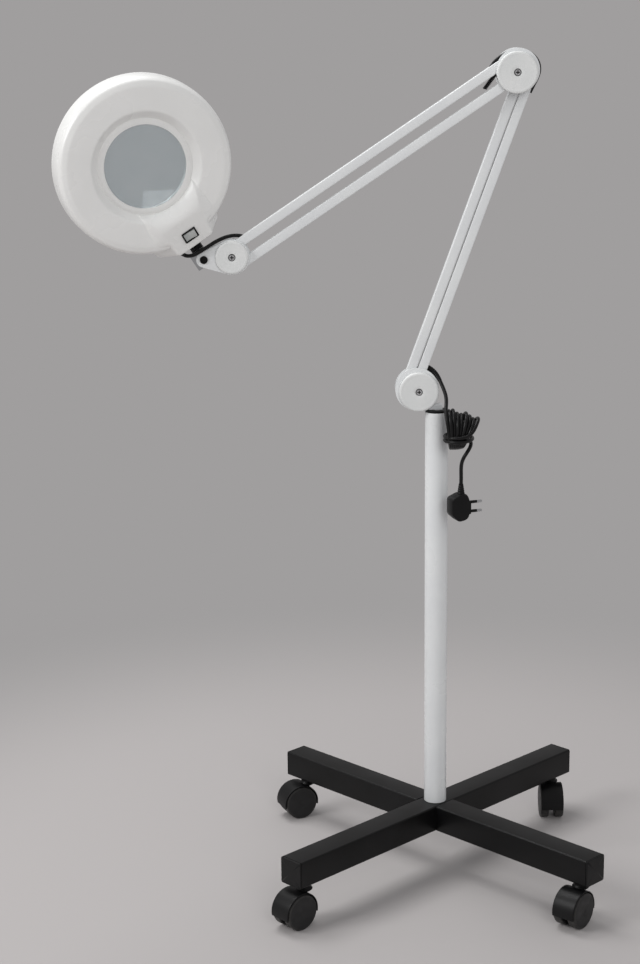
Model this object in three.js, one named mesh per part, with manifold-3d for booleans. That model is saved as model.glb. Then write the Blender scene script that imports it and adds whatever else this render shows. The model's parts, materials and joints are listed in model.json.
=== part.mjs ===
// Magnifying lamp on a rolling cross base, with two spring-balanced parallel arms.
// Millimetres, +Z up. +X runs from the head towards the elbow's side, and the arms lie in the XZ plane.
// Every outline below is drawn from the column's axis at floor level; the last lines move the whole lamp
// so that its box, without the free mains lead, is centred and stands on z = 0.
import * as THREE from 'three';
import { mergeVertices } from 'three/addons/utils/BufferGeometryUtils.js';
import { ConvexGeometry } from 'three/addons/geometries/ConvexGeometry.js';
import Module from 'manifold-3d';

const wasm = await Module();
wasm.setup();

// ---------------------------------------------------------------- driving sizes
const GAP = 0.3; // between pieces that touch or are fixed together
const RUNNING = 0.3; // radial clearance of a pin in its hole

// cross base
const LEG_TUBE = 38; // square steel tube
const LEG_WALL = 2;
const LEG_SPAN = 584; // tip to tip, end caps included
const CAP_PLATE = 2.5;
const CAP_SPIGOT = 12;
const LEG_TIPS = [
  // name, direction, and the way its caster trails
  ['rear_right', 45, 270],
  ['rear_left', 135, 205],
  ['front_left', 225, 222],
  ['front_right', 315, 231],
];

// twin-wheel casters
const CASTER_INSET = 25; // stem axis to leg tip
const CASTER_TRAIL = 17;
const STEM_RADIUS = 5;
const STEM_LENGTH = 15;
const WHEEL_RADIUS = 25;
const WHEEL_WIDTH = 13;
const WHEEL_OFFSET = 4.6; // from the caster's middle plane to a wheel's inner face
const AXLE_RADIUS = 3;
const HOOD_WALL = 2.2;
const HOOD_CLEARANCE = 1.3; // over the tread
const HOOD_WIDTH = 39;
const HOOD_SKIRT_ABOVE_FLOOR = 20;
const CASTER_NECK = 8.5; // between the hood and the leg

// column
const COLUMN_RADIUS = 16;
const COLUMN_WALL = 1.5;
const COLUMN_LENGTH = 575;
const PLUG_FLANGE = 3;
const PLUG_DEPTH = 26;
const SWIVEL_RADIUS = 6; // the shoulder's stem in the plug

// parallel arms: two square tubes each, one link apart
const ARM_TUBE = 12.7;
const ARM_WALL = 1.1;
const ARM_TAIL = 7; // tube beyond its pivot
const LINK_SPACE = 14.3; // between the pair's tubes, along the link
const LINK_ANGLE = 102; // the link's direction, from +X towards +Z
const LOWER_LENGTH = 455;
const LOWER_ANGLE = 70;
const UPPER_LENGTH = 440;
const UPPER_ANGLE = 33.5;
const PIVOT_RADIUS = 3;
const SIDE_PLAY = 0.5; // tube to plate
const PLATE = 2; // joint plates
const PLATE_RADIUS = 30;
const COVER_RADIUS = 27.5;
const COVER_THICK = 6;
const HEAD_PLATE_RADIUS = 24;
const HEAD_COVER_RADIUS = 22.5;
const SCREW_HEAD_RADIUS = 4.5;
const SCREW_HEAD_THICK = 2.4;
const SCREW_RADIUS = 2;
const RIM_WALL = 3;

// where the arms stand on the column, and how each joint is laid out around its cover
const SHOULDER_LEAD = -38.8; // lower arm's pivots, from the column's axis
const SHOULDER_RISE = 30; // and above the column's top
const SHOULDER_COVER = { x: 14, z: 0 }; // cover, from the middle of the pivots
const SHOULDER_PLATE = { x: -2.7, z: 3 }; // plate, from the cover
const ELBOW_COVER = { x: -13.3, z: 2.3 };
const ELBOW_PLATE = { x: 2.4, z: 4.7 };
const ELBOW_UPPER = { x: -11.2, z: 1.6 }; // upper arm's pivots, from the elbow's cover
const HEAD_COVER = { x: -3.6, z: 0.9 };
const TILT_PIN = { x: -38.1, z: -3.3 }; // from the head joint's cover

// counterbalance springs, inside one tube of each pair
const SPRING_PLAY = 0.65; // to the tube's inner faces
const SPRING_LENGTH = 180;
const SPRING_START = 30;

// head mount: clevis, ferrule and stud
const TILT_EAR = 10.5; // round end of the tilt plates
const TILT_RADIUS = 3.4;
const YOKE_WALL = 2.2;
const YOKE_BACK = 9; // from the tilt pin
const YOKE_WEB = 14;
const YOKE_TOP = 15;
const FERRULE_RADIUS = 9;
const STUD_RADIUS = 3;
const HEAD_LEAN = 33; // stud from upright, in the arms' plane
const HEAD_TURN = 12; // head about its stud
const HEAD_RAKE = 15; // lens plane to stud
const NECK_FROM_PIN = 28;

// head, about the middle of the lens: +z is the side that the user looks into, the neck runs to -y
const LENS_RADIUS = 60;
const LENS_EDGE = 3;
const LENS_BULGE = 5; // each face
const LENS_SEAT = 3.4; // how far the bore is smaller than the lens
const WELL_RADIUS = 74; // mouth of the viewing well
const HEAD_TOP = 13; // ring face above the lens
const TOP_RADIUS = 106;
const HEAD_RADIUS = 119;
const HEAD_BOTTOM = -28;
const HEAD_WALL = 2.5;
const BARREL_BOTTOM = -24;
const NECK_END = 126;
const NECK_TOP_WIDTH = 60;
const NECK_BASE_WIDTH = 87;
const NECK_START = 70;
const NECK_CREASE = 85;
const NECK_START_HEIGHT = 15;
const NECK_CREASE_HEIGHT = 19;
const NECK_END_HEIGHT = 11;
const NECK_MID = -10; // stud's height in the neck's end
const LAMP_RADIUS = 93.5; // centreline of the circular tube
const LAMP_TUBE = 14;
const LAMP_HEIGHT = -10;
const SWITCH_LONG = 21;
const SWITCH_SHORT = 15;
const SWITCH_BEZEL = 2;
const SWITCH_DEPTH = 12;
const SWITCH_FROM_LENS = 108;
const ROCKER_LONG = 15;
const ROCKER_SHORT = 9.6;
const ROCKER_REST = 8; // degrees, the side that is pressed

// cables
const CABLE_RADIUS = 2.6;
const LEAD_RADIUS = 2.6;
const CABLE_SIDES = 10;
const HANK_WIDTH = 48;
const HANK_HEIGHT = 62;
const HANK_DEPTH = 43;
const PLUG_WIDTH = 27;
const PLUG_DEEP = 21;
const PLUG_HEIGHT = 37;
const PIN_RADIUS = 2.4;
const PIN_LENGTH = 19;
const PIN_SPACING = 13;

// ---------------------------------------------------------------- places worked out from the sizes
const legUnderside = 2 * WHEEL_RADIUS + HOOD_CLEARANCE + HOOD_WALL + CASTER_NECK;
const legTop = legUnderside + LEG_TUBE;
const columnTop = legTop + GAP + COLUMN_LENGTH;
const plateInner = ARM_TUBE / 2 + SIDE_PLAY;
const plateOuter = plateInner + PLATE;
const upperLayer = -(plateOuter + plateInner); // the upper arm runs in front of the lower one
const polar = (length, degrees) => ({
  x: length * Math.cos(rad(degrees)),
  z: length * Math.sin(rad(degrees)),
});
const plus = (a, b) => ({ x: a.x + b.x, z: a.z + b.z });
const springRadius = ARM_TUBE / 2 - ARM_WALL - SPRING_PLAY;
const link = ARM_TUBE + LINK_SPACE; // pivot to pivot across the pair
const halfLink = polar(link / 2, LINK_ANGLE);
const pair = (middle) => [plus(middle, halfLink), plus(middle, { x: -halfLink.x, z: -halfLink.z })];

const shoulderMiddle = { x: SHOULDER_LEAD, z: columnTop + SHOULDER_RISE };
const elbowLowerMiddle = plus(shoulderMiddle, polar(LOWER_LENGTH, LOWER_ANGLE));
const elbowCover = plus(elbowLowerMiddle, ELBOW_COVER);
const elbowUpperMiddle = plus(elbowCover, ELBOW_UPPER);
const headMiddle = plus(elbowUpperMiddle, polar(UPPER_LENGTH, 180 + UPPER_ANGLE));
const headCover = plus(headMiddle, HEAD_COVER);
const tiltPin = plus(headCover, TILT_PIN);
const shoulderCover = plus(shoulderMiddle, SHOULDER_COVER);
const shoulderPlate = plus(shoulderCover, SHOULDER_PLATE);
const elbowPlate = plus(elbowCover, ELBOW_PLATE);

// ---------------------------------------------------------------- materials
const look = (color, roughness, metalness = 0) =>
  new THREE.MeshStandardMaterial({ color, roughness, metalness });
const BLACK_PAINT = look(0x17181a, 0.42);
const BLACK_PLASTIC = look(0x1b1b1c, 0.55);
const TREAD = look(0x242424, 0.7);
const SILVER_PAINT = look(0xd3d7da, 0.4);
const WHITE_PLASTIC = look(0xeeeeec, 0.38);
const GREY_COVER = look(0xd9dadb, 0.45);
const STEEL = look(0xa8abae, 0.3, 1);
const GLASS = look(0xb9c8c8, 0.05);
const LAMP_WHITE = look(0xf4f3ee, 0.3);
const ROCKER_GREY = look(0x8f9190, 0.3);
const CABLE_BLACK = look(0x101011, 0.5);

// ---------------------------------------------------------------- small tools
function rad(degrees) {
  return (degrees * Math.PI) / 180;
}

/** An indexed copy with merged corners, no collapsed faces, and its faces looking outwards. */
function closed(geometry) {
  const bare = geometry.clone();
  bare.deleteAttribute('normal');
  bare.deleteAttribute('uv');
  const merged = mergeVertices(bare, 1e-4);
  const p = merged.getAttribute('position');
  const old = merged.index.array;
  const faces = [];
  let volume = 0;
  const [a, b, c] = [new THREE.Vector3(), new THREE.Vector3(), new THREE.Vector3()];
  for (let i = 0; i < old.length; i += 3) {
    const [i0, i1, i2] = [old[i], old[i + 1], old[i + 2]];
    if (i0 === i1 || i1 === i2 || i2 === i0) continue;
    faces.push(i0, i1, i2);
    a.fromBufferAttribute(p, i0);
    b.fromBufferAttribute(p, i1);
    c.fromBufferAttribute(p, i2);
    volume += a.dot(b.cross(c));
  }
  if (volume < 0) faces.reverse();
  merged.setIndex(faces);
  return merged;
}

function toManifold(geometry) {
  const body = closed(geometry);
  return new wasm.Manifold(
    new wasm.Mesh({
      numProp: 3,
      vertProperties: Float32Array.from(body.getAttribute('position').array),
      triVerts: Uint32Array.from(body.index.array),
    }),
  );
}

function toGeometry(manifold) {
  const mesh = manifold.getMesh();
  const geometry = new THREE.BufferGeometry();
  geometry.setAttribute('position', new THREE.BufferAttribute(mesh.vertProperties, 3));
  geometry.setIndex(Array.from(mesh.triVerts));
  return geometry;
}

const cut = (base, ...tools) =>
  toGeometry(tools.reduce((left, tool) => left.subtract(toManifold(tool)), toManifold(base)));
const join = (base, ...others) =>
  toGeometry(others.reduce((sum, other) => sum.add(toManifold(other)), toManifold(base)));

const box = (width, depth, height, x = 0, y = 0, z = 0) =>
  new THREE.BoxGeometry(width, depth, height).translate(x, y, z);

/** A cylinder along Z from low to high. */
const rodZ = (radius, low, high, sides = 24) =>
  new THREE.CylinderGeometry(radius, radius, high - low, sides)
    .rotateX(Math.PI / 2)
    .translate(0, 0, (low + high) / 2);

/** A cylinder along Y from low to high, through (x, z). */
const rodY = (radius, low, high, x = 0, z = 0, sides = 16) =>
  new THREE.CylinderGeometry(radius, radius, high - low, sides).translate(x, (low + high) / 2, z);

/** A turned piece about Z, from [radius, height] points that end on the axis or close on themselves. */
const turned = (points, sides = 32) =>
  new THREE.LatheGeometry(
    points.map(([r, z]) => new THREE.Vector2(r, z)),
    sides,
  ).rotateX(Math.PI / 2);

/** The same, closed on itself. */
const turnedRing = (points, sides = 32) => turned([...points, points[0]], sides);

/** A flat plate in the XZ plane between two values of y. */
const plateXZ = (outline, yLow, yHigh, curveSegments = 12) =>
  new THREE.ExtrudeGeometry(outline, { depth: yHigh - yLow, bevelEnabled: false, curveSegments })
    .rotateX(Math.PI / 2)
    .translate(0, yHigh, 0);

/** A round outline with round holes, each hole {x, z, radius}. */
function disc(centre, radius, holes = []) {
  const outline = new THREE.Shape().absarc(centre.x, centre.z, radius, 0, 2 * Math.PI);
  addHoles(outline, holes);
  return outline;
}

function addHoles(outline, holes) {
  for (const hole of holes) {
    outline.holes.push(new THREE.Path().absarc(hole.x, hole.z, hole.radius, 0, 2 * Math.PI, true));
  }
}

/** Square tube along X between two ends. */
function squareTube(size, wall, low, high) {
  const middle = (low + high) / 2;
  const inner = size - 2 * wall;
  return cut(box(high - low, size, size, middle), box(high - low + 2, inner, inner, middle));
}

/** A round cable through [x, y, z] points. */
function cable(points, radius, steps, sides = CABLE_SIDES) {
  const path = new THREE.CatmullRomCurve3(points.map((p) => new THREE.Vector3(...p)));
  const corners = Array.from({ length: sides }, (_, i) => (2 * Math.PI * i) / sides);
  const section = new THREE.Shape(
    corners.map((t) => new THREE.Vector2(radius * Math.cos(t), radius * Math.sin(t))),
  );
  return new THREE.ExtrudeGeometry(section, { steps, extrudePath: path });
}

function piece(parent, name, geometry, material) {
  const mesh = new THREE.Mesh(closed(geometry), material);
  mesh.name = name;
  parent.add(mesh);
  return mesh;
}

function groupAt(parent, x, y, z) {
  const group = new THREE.Group();
  group.position.set(x, y, z);
  parent.add(group);
  return group;
}

// ---------------------------------------------------------------- cross base
function addBase(lamp) {
  const base = groupAt(lamp, 0, 0, legUnderside + LEG_TUBE / 2);
  const tip = LEG_SPAN / 2;
  const tubeEnd = tip - CAP_PLATE - GAP;
  const stemAt = tip - CASTER_INSET;
  const stemHole = (x) =>
    rodZ(STEM_RADIUS + RUNNING, -LEG_TUBE / 2 - 1, -LEG_TUBE / 2 + LEG_WALL + 1, 16).translate(x, 0, 0);

  const along = groupAt(base, 0, 0, 0);
  along.rotation.z = rad(45);
  const longTube = cut(
    squareTube(LEG_TUBE, LEG_WALL, -tubeEnd, tubeEnd),
    stemHole(stemAt),
    stemHole(-stemAt),
  );
  piece(along, 'leg_long', longTube, BLACK_PAINT);

  const halfTube = cut(
    squareTube(LEG_TUBE, LEG_WALL, LEG_TUBE / 2 + GAP, tubeEnd),
    stemHole(stemAt),
  );
  for (const [name, degrees] of [['leg_left', 135], ['leg_right', 315]]) {
    const side = groupAt(base, 0, 0, 0);
    side.rotation.z = rad(degrees);
    piece(side, name, halfTube, BLACK_PAINT);
  }

  const spigot = LEG_TUBE - 2 * LEG_WALL - 2 * GAP;
  const spigotLow = tubeEnd - CAP_SPIGOT;
  const cap = cut(
    join(
      box(CAP_PLATE, LEG_TUBE, LEG_TUBE, tip - CAP_PLATE / 2),
      box(CAP_SPIGOT + GAP + 1, spigot, spigot, (spigotLow + tip - CAP_PLATE + 1) / 2),
    ),
    box(CAP_SPIGOT, spigot - 4, spigot - 4, spigotLow + CAP_SPIGOT / 2 - 1),
  );
  for (const [name, degrees] of LEG_TIPS) {
    const end = groupAt(base, 0, 0, 0);
    end.rotation.z = rad(degrees);
    piece(end, `leg_cap_${name}`, cap, BLACK_PLASTIC);
  }
}

// ---------------------------------------------------------------- casters
function casterHood() {
  const axleZ = WHEEL_RADIUS - legUnderside;
  const pocketRadius = WHEEL_RADIUS + HOOD_CLEARANCE;
  const plateHalf = WHEEL_OFFSET - 0.6;
  const pocket = (side) => {
    const [low, high] = side > 0 ? [plateHalf, HOOD_WIDTH] : [-HOOD_WIDTH, -plateHalf];
    return rodY(pocketRadius, low, high, CASTER_TRAIL, axleZ, 20);
  };
  const shell = rodY(pocketRadius + HOOD_WALL, -HOOD_WIDTH / 2, HOOD_WIDTH / 2, CASTER_TRAIL, axleZ, 20);
  const boss = rodZ(9, axleZ + 12, -GAP, 14);
  const belowSkirt = box(
    4 * WHEEL_RADIUS,
    2 * HOOD_WIDTH,
    WHEEL_RADIUS,
    CASTER_TRAIL,
    0,
    HOOD_SKIRT_ABOVE_FLOOR - legUnderside - WHEEL_RADIUS / 2,
  );
  const hood = cut(join(shell, boss), pocket(1), pocket(-1), belowSkirt);
  const axleEnd = WHEEL_OFFSET + WHEEL_WIDTH - 1;
  return join(
    hood,
    rodZ(STEM_RADIUS, -GAP - 1, STEM_LENGTH, 12),
    rodY(AXLE_RADIUS, -axleEnd, axleEnd, CASTER_TRAIL, axleZ, 10),
  );
}

function casterWheel() {
  const bore = AXLE_RADIUS + RUNNING;
  return turnedRing(
    [
      [bore, 0],
      [bore, WHEEL_WIDTH],
      [WHEEL_RADIUS - 2, WHEEL_WIDTH],
      [WHEEL_RADIUS, WHEEL_WIDTH - 2],
      [WHEEL_RADIUS, 2],
      [WHEEL_RADIUS - 2, 0],
    ],
    20,
  ).rotateX(-Math.PI / 2);
}

function addCasters(lamp) {
  const hood = casterHood();
  const wheel = casterWheel();
  const reach = LEG_SPAN / 2 - CASTER_INSET;
  for (const [name, degrees, trail] of LEG_TIPS) {
    const at = [reach * Math.cos(rad(degrees)), reach * Math.sin(rad(degrees))];
    const caster = groupAt(lamp, at[0], at[1], legUnderside);
    caster.rotation.z = rad(trail);
    piece(caster, `caster_hood_${name}`, hood, BLACK_PLASTIC);
    const axle = groupAt(caster, CASTER_TRAIL, 0, WHEEL_RADIUS - legUnderside);
    const left = piece(axle, `wheel_left_${name}`, wheel, TREAD);
    left.position.y = WHEEL_OFFSET;
    const right = piece(axle, `wheel_right_${name}`, wheel, TREAD);
    right.position.y = -WHEEL_OFFSET;
    right.rotation.x = Math.PI;
  }
}

// ---------------------------------------------------------------- column
function addColumn(lamp) {
  const column = groupAt(lamp, 0, 0, legTop + GAP);
  const inner = COLUMN_RADIUS - COLUMN_WALL;
  const tube = turnedRing([
    [inner, 0],
    [COLUMN_RADIUS, 0],
    [COLUMN_RADIUS, COLUMN_LENGTH],
    [inner, COLUMN_LENGTH],
  ]);
  piece(column, 'column_tube', tube, SILVER_PAINT);

  const top = groupAt(column, 0, 0, COLUMN_LENGTH + GAP);
  const bore = SWIVEL_RADIUS + RUNNING;
  const plug = turnedRing([
    [bore, -PLUG_DEPTH],
    [inner - GAP, -PLUG_DEPTH],
    [inner - GAP, 0],
    [COLUMN_RADIUS, 0],
    [COLUMN_RADIUS - 0.6, PLUG_FLANGE],
    [bore, PLUG_FLANGE],
  ]);
  piece(top, 'column_plug', plug, BLACK_PLASTIC);
}

// ---------------------------------------------------------------- joint hardware shared by the three joints
/** A round cover with a recess for its screw; its outer face looks to -y at y = face - COVER_THICK. */
function jointCover(radius, withScrew) {
  const flat = withScrew ? [[SCREW_RADIUS + RUNNING, 0]] : [[0, 0]];
  const recess = withScrew
    ? [
        [SCREW_HEAD_RADIUS + GAP, COVER_THICK],
        [SCREW_HEAD_RADIUS + GAP, COVER_THICK - SCREW_HEAD_THICK],
        [SCREW_RADIUS + RUNNING, COVER_THICK - SCREW_HEAD_THICK],
      ]
    : [[0, COVER_THICK]];
  const profile = [
    ...flat,
    [radius, 0],
    [radius, COVER_THICK - 2.5],
    [radius - 2.5, COVER_THICK],
    ...recess,
  ];
  const body = withScrew ? turnedRing(profile, 26) : turned(profile, 26);
  return body.rotateX(Math.PI / 2);
}

function coverScrew(reach) {
  return turned(
    [
      [0, -reach],
      [SCREW_RADIUS, -reach],
      [SCREW_RADIUS, GAP],
      [SCREW_HEAD_RADIUS, GAP],
      [SCREW_HEAD_RADIUS - 0.6, SCREW_HEAD_THICK],
      [0, SCREW_HEAD_THICK],
    ],
    12,
  ).rotateX(Math.PI / 2);
}

/** Front cover with its screw, and a plain rear cover pressed on the back plate. */
function addCovers(parent, name, centre, radius, frontY, rearY) {
  const front = piece(parent, `${name}_cover_front`, jointCover(radius, true), GREY_COVER);
  front.position.set(centre.x, frontY - GAP, centre.z);
  const rear = piece(parent, `${name}_cover_rear`, jointCover(radius, false), GREY_COVER);
  rear.position.set(centre.x, rearY + GAP, centre.z);
  rear.rotation.z = Math.PI;
  const seat = COVER_THICK - SCREW_HEAD_THICK;
  const screw = piece(parent, `${name}_cover_screw`, coverScrew(seat + GAP + PLATE), STEEL);
  screw.position.set(centre.x, frontY - GAP - seat, centre.z);
}

const holesAt = (points, radius) => points.map((p) => ({ ...p, radius }));
const pins = (points, yLow, yHigh) => points.map((p) => rodY(PIVOT_RADIUS, yLow, yHigh, p.x, p.z, 12));
const pinHole = PIVOT_RADIUS + RUNNING;
const screwHole = (centre) => ({ ...centre, radius: SCREW_RADIUS + RUNNING });

// ---------------------------------------------------------------- arms
/** One tube of an arm, drilled at both pivots. */
function armTube(parent, name, pivot, y, degrees, length) {
  const arm = groupAt(parent, pivot.x, y, pivot.z);
  arm.rotation.y = -rad(degrees);
  const reach = ARM_TUBE;
  const tube = cut(
    squareTube(ARM_TUBE, ARM_WALL, -ARM_TAIL, length + ARM_TAIL),
    rodY(pinHole, -reach, reach, 0, 0),
    rodY(pinHole, -reach, reach, length, 0),
  );
  piece(arm, name, tube, SILVER_PAINT);
  return arm;
}

/** The counterbalance spring, close to the walls of its tube. */
function addSpring(arm, name) {
  const coil = rodZ(springRadius, SPRING_START, SPRING_START + SPRING_LENGTH, 16).rotateY(Math.PI / 2);
  piece(arm, name, coil, STEEL);
}

function addLowerArm(lamp) {
  const [left, right] = pair(shoulderMiddle);
  const sprung = armTube(lamp, 'lower_tube_left', left, 0, LOWER_ANGLE, LOWER_LENGTH);
  addSpring(sprung, 'lower_spring');
  armTube(lamp, 'lower_tube_right', right, 0, LOWER_ANGLE, LOWER_LENGTH);
}

function addUpperArm(lamp) {
  const [top, bottom] = pair(elbowUpperMiddle);
  const away = 180 + UPPER_ANGLE;
  armTube(lamp, 'upper_tube_top', top, upperLayer, away, UPPER_LENGTH);
  const sprung = armTube(lamp, 'upper_tube_bottom', bottom, upperLayer, away, UPPER_LENGTH);
  addSpring(sprung, 'upper_spring');
}

// ---------------------------------------------------------------- shoulder
function addShoulder(lamp) {
  const pivots = pair(shoulderMiddle);
  const screw = screwHole(shoulderCover);
  const back = plateXZ(
    disc(shoulderPlate, PLATE_RADIUS, holesAt(pivots, pinHole)),
    plateInner,
    plateOuter,
  );
  const foot = columnTop + GAP + PLUG_FLANGE + GAP;
  const webLow = -14;
  const webHigh = 8;
  const webTop = foot + 7.5;
  const webDepth = plateInner - GAP + plateOuter;
  const web = box(
    webHigh - webLow,
    webDepth,
    webTop - foot,
    (webLow + webHigh) / 2,
    (plateOuter - plateInner + GAP) / 2,
    (foot + webTop) / 2,
  );
  const stem = rodZ(SWIVEL_RADIUS, columnTop - PLUG_DEPTH + 3, foot + 1);
  piece(lamp, 'shoulder_bracket', join(back, web, stem), SILVER_PAINT);

  const front = plateXZ(
    disc(shoulderPlate, PLATE_RADIUS, [screw]),
    -plateOuter,
    -plateInner,
  );
  piece(
    lamp,
    'shoulder_pin_plate',
    join(front, ...pins(pivots, -plateInner - 1, plateOuter)),
    SILVER_PAINT,
  );
  addCovers(lamp, 'shoulder', shoulderCover, COVER_RADIUS, -plateOuter, plateOuter);
}

// ---------------------------------------------------------------- elbow
function rimWall(centre, radius, fromDegrees, toDegrees, yLow, yHigh) {
  const outline = new THREE.Shape();
  outline.absarc(centre.x, centre.z, radius, rad(fromDegrees), rad(toDegrees), false);
  outline.absarc(centre.x, centre.z, radius - RIM_WALL, rad(toDegrees), rad(fromDegrees), true);
  outline.closePath();
  return plateXZ(outline, yLow, yHigh, 8);
}

function addElbow(lamp) {
  const lower = pair(elbowLowerMiddle);
  const upper = pair(elbowUpperMiddle);
  const middleFront = -plateOuter;
  const frontInner = upperLayer - plateInner;
  const frontOuter = frontInner - PLATE;

  const middle = plateXZ(
    disc(elbowPlate, PLATE_RADIUS, holesAt([...lower, ...upper], pinHole)),
    middleFront,
    -plateInner,
  );
  const wall = rimWall(elbowPlate, PLATE_RADIUS, -15, 100, frontInner + GAP, plateInner - GAP);
  piece(lamp, 'elbow_bracket', join(middle, wall), SILVER_PAINT);

  const rear = plateXZ(disc(elbowPlate, PLATE_RADIUS), plateInner, plateOuter);
  piece(
    lamp,
    'elbow_pin_plate_rear',
    join(rear, ...pins(lower, middleFront, plateInner + 1)),
    SILVER_PAINT,
  );
  const front = plateXZ(disc(elbowPlate, PLATE_RADIUS, [screwHole(elbowCover)]), frontOuter, frontInner);
  piece(
    lamp,
    'elbow_pin_plate_front',
    join(front, ...pins(upper, frontInner - 1, -plateInner)),
    SILVER_PAINT,
  );
  addCovers(lamp, 'elbow', elbowCover, COVER_RADIUS, frontOuter, plateOuter);
}

// ---------------------------------------------------------------- head joint
/** Teardrop outline: a large circle around the cover and a small one around the tilt pin. */
function teardrop(holes) {
  const span = Math.hypot(headCover.x - tiltPin.x, headCover.z - tiltPin.z);
  const towards = Math.atan2(headCover.z - tiltPin.z, headCover.x - tiltPin.x);
  const flare = Math.PI / 2 + Math.asin((HEAD_PLATE_RADIUS - TILT_EAR) / span);
  const outline = new THREE.Shape();
  outline.absarc(headCover.x, headCover.z, HEAD_PLATE_RADIUS, towards - flare, towards + flare, false);
  outline.absarc(tiltPin.x, tiltPin.z, TILT_EAR, towards + flare, towards - flare, false);
  outline.closePath();
  addHoles(outline, holes);
  return outline;
}

function addHeadJoint(lamp) {
  const pivots = pair(headMiddle);
  const rearInner = upperLayer + plateInner;
  const rearOuter = rearInner + PLATE;
  const frontInner = upperLayer - plateInner;
  const frontOuter = frontInner - PLATE;
  const tiltHole = { ...tiltPin, radius: TILT_RADIUS + RUNNING };

  const back = plateXZ(teardrop([...holesAt(pivots, pinHole), tiltHole]), rearInner, rearOuter);
  const webX = headCover.x - HEAD_PLATE_RADIUS + 3.5;
  const webDepth = rearInner - frontInner - GAP + 1;
  const web = box(4, webDepth, 18, webX, frontInner + GAP + webDepth / 2, headCover.z + 0.5);
  piece(lamp, 'head_bracket', join(back, web), SILVER_PAINT);

  const front = plateXZ(teardrop([screwHole(headCover), tiltHole]), frontOuter, frontInner);
  piece(
    lamp,
    'head_pin_plate',
    join(front, ...pins(pivots, frontInner - 1, rearOuter)),
    SILVER_PAINT,
  );
  addCovers(lamp, 'head_joint', headCover, HEAD_COVER_RADIUS, frontOuter, rearOuter);

  const headRadius = TILT_RADIUS + 2;
  const bolt = join(
    rodY(TILT_RADIUS, frontOuter - GAP - 1, rearOuter + GAP + 1, tiltPin.x, tiltPin.z),
    rodY(headRadius, frontOuter - GAP - 2, frontOuter - GAP, tiltPin.x, tiltPin.z, 20),
    rodY(headRadius, rearOuter + GAP, rearOuter + GAP + 2, tiltPin.x, tiltPin.z, 6),
  );
  piece(lamp, 'tilt_bolt', bolt, BLACK_PAINT);
}

// ---------------------------------------------------------------- yoke and ferrule
/** Channel around the tilt pin, in the stud's frame: z runs up the stud, x to the open side. */
function addYoke(stud) {
  const half = plateInner - GAP;
  const depth = YOKE_TOP + YOKE_BACK;
  const width = YOKE_WEB + YOKE_BACK;
  const midX = (YOKE_BACK - YOKE_WEB) / 2;
  const midZ = (YOKE_TOP - YOKE_BACK) / 2;
  const channel = cut(
    box(width, 2 * half, depth, midX, 0, midZ),
    box(width, 2 * (half - YOKE_WALL), depth, midX + YOKE_WALL, 0, midZ - YOKE_WALL),
    rodY(TILT_RADIUS + RUNNING, -half - 1, half + 1, 0, 0),
    rodZ(STUD_RADIUS + RUNNING, 0, YOKE_TOP + 1, 16),
  );
  piece(stud, 'head_yoke', channel, STEEL);
}

function addFerrule(turning) {
  const collar = FERRULE_RADIUS / 2;
  const inside = YOKE_TOP - YOKE_WALL - GAP;
  const flangeTop = NECK_FROM_PIN - FERRULE_RADIUS * Math.tan(rad(HEAD_RAKE)) - GAP;
  const ferrule = turned(
    [
      [0, inside - 4],
      [STUD_RADIUS + 1, inside - 4],
      [STUD_RADIUS + 1, inside],
      [STUD_RADIUS, inside],
      [STUD_RADIUS, YOKE_TOP + GAP],
      [FERRULE_RADIUS, YOKE_TOP + GAP],
      [FERRULE_RADIUS, flangeTop],
      [collar, flangeTop],
      [collar, NECK_FROM_PIN + 5],
      [0, NECK_FROM_PIN + 5],
    ],
    18,
  );
  piece(turning, 'neck_ferrule', ferrule, BLACK_PLASTIC);
}

// ---------------------------------------------------------------- head
const seatRadius = LENS_RADIUS + 2.2;
const boreRadius = LENS_RADIUS - LENS_SEAT;
const lensSurface = (r) => LENS_EDGE / 2 + LENS_BULGE * (1 - (r / LENS_RADIUS) ** 2);
const seatHeight = -lensSurface(boreRadius) - GAP;

/** Outer skin of the shell, grown by a clearance: [radius, height] from the well's mouth to the skirt. */
const skin = (grow) => [
  [WELL_RADIUS, HEAD_TOP + grow],
  [TOP_RADIUS, HEAD_TOP + grow],
  [TOP_RADIUS + 7.5 + grow * 0.6, HEAD_TOP - 2.8 + grow * 0.8],
  [TOP_RADIUS + 11.6 + grow, HEAD_TOP - 9.5],
  [HEAD_RADIUS + grow, HEAD_BOTTOM],
];

function headShell(switchWell) {
  const inner = skin(-HEAD_WALL).reverse();
  inner[0] = [HEAD_RADIUS - HEAD_WALL, HEAD_BOTTOM];
  inner[inner.length - 1] = [WELL_RADIUS + 1.1, HEAD_TOP - HEAD_WALL];
  const shell = turnedRing(
    [
      ...skin(0),
      ...inner,
      [seatRadius + HEAD_WALL, 0],
      [seatRadius + HEAD_WALL, seatHeight - HEAD_WALL],
      [boreRadius + HEAD_WALL, seatHeight - HEAD_WALL],
      [boreRadius + HEAD_WALL, BARREL_BOTTOM],
      [boreRadius, BARREL_BOTTOM],
      [boreRadius, seatHeight],
      [seatRadius, seatHeight],
      [seatRadius, 1],
    ],
    48,
  );
  return cut(shell, switchWell);
}

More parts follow.
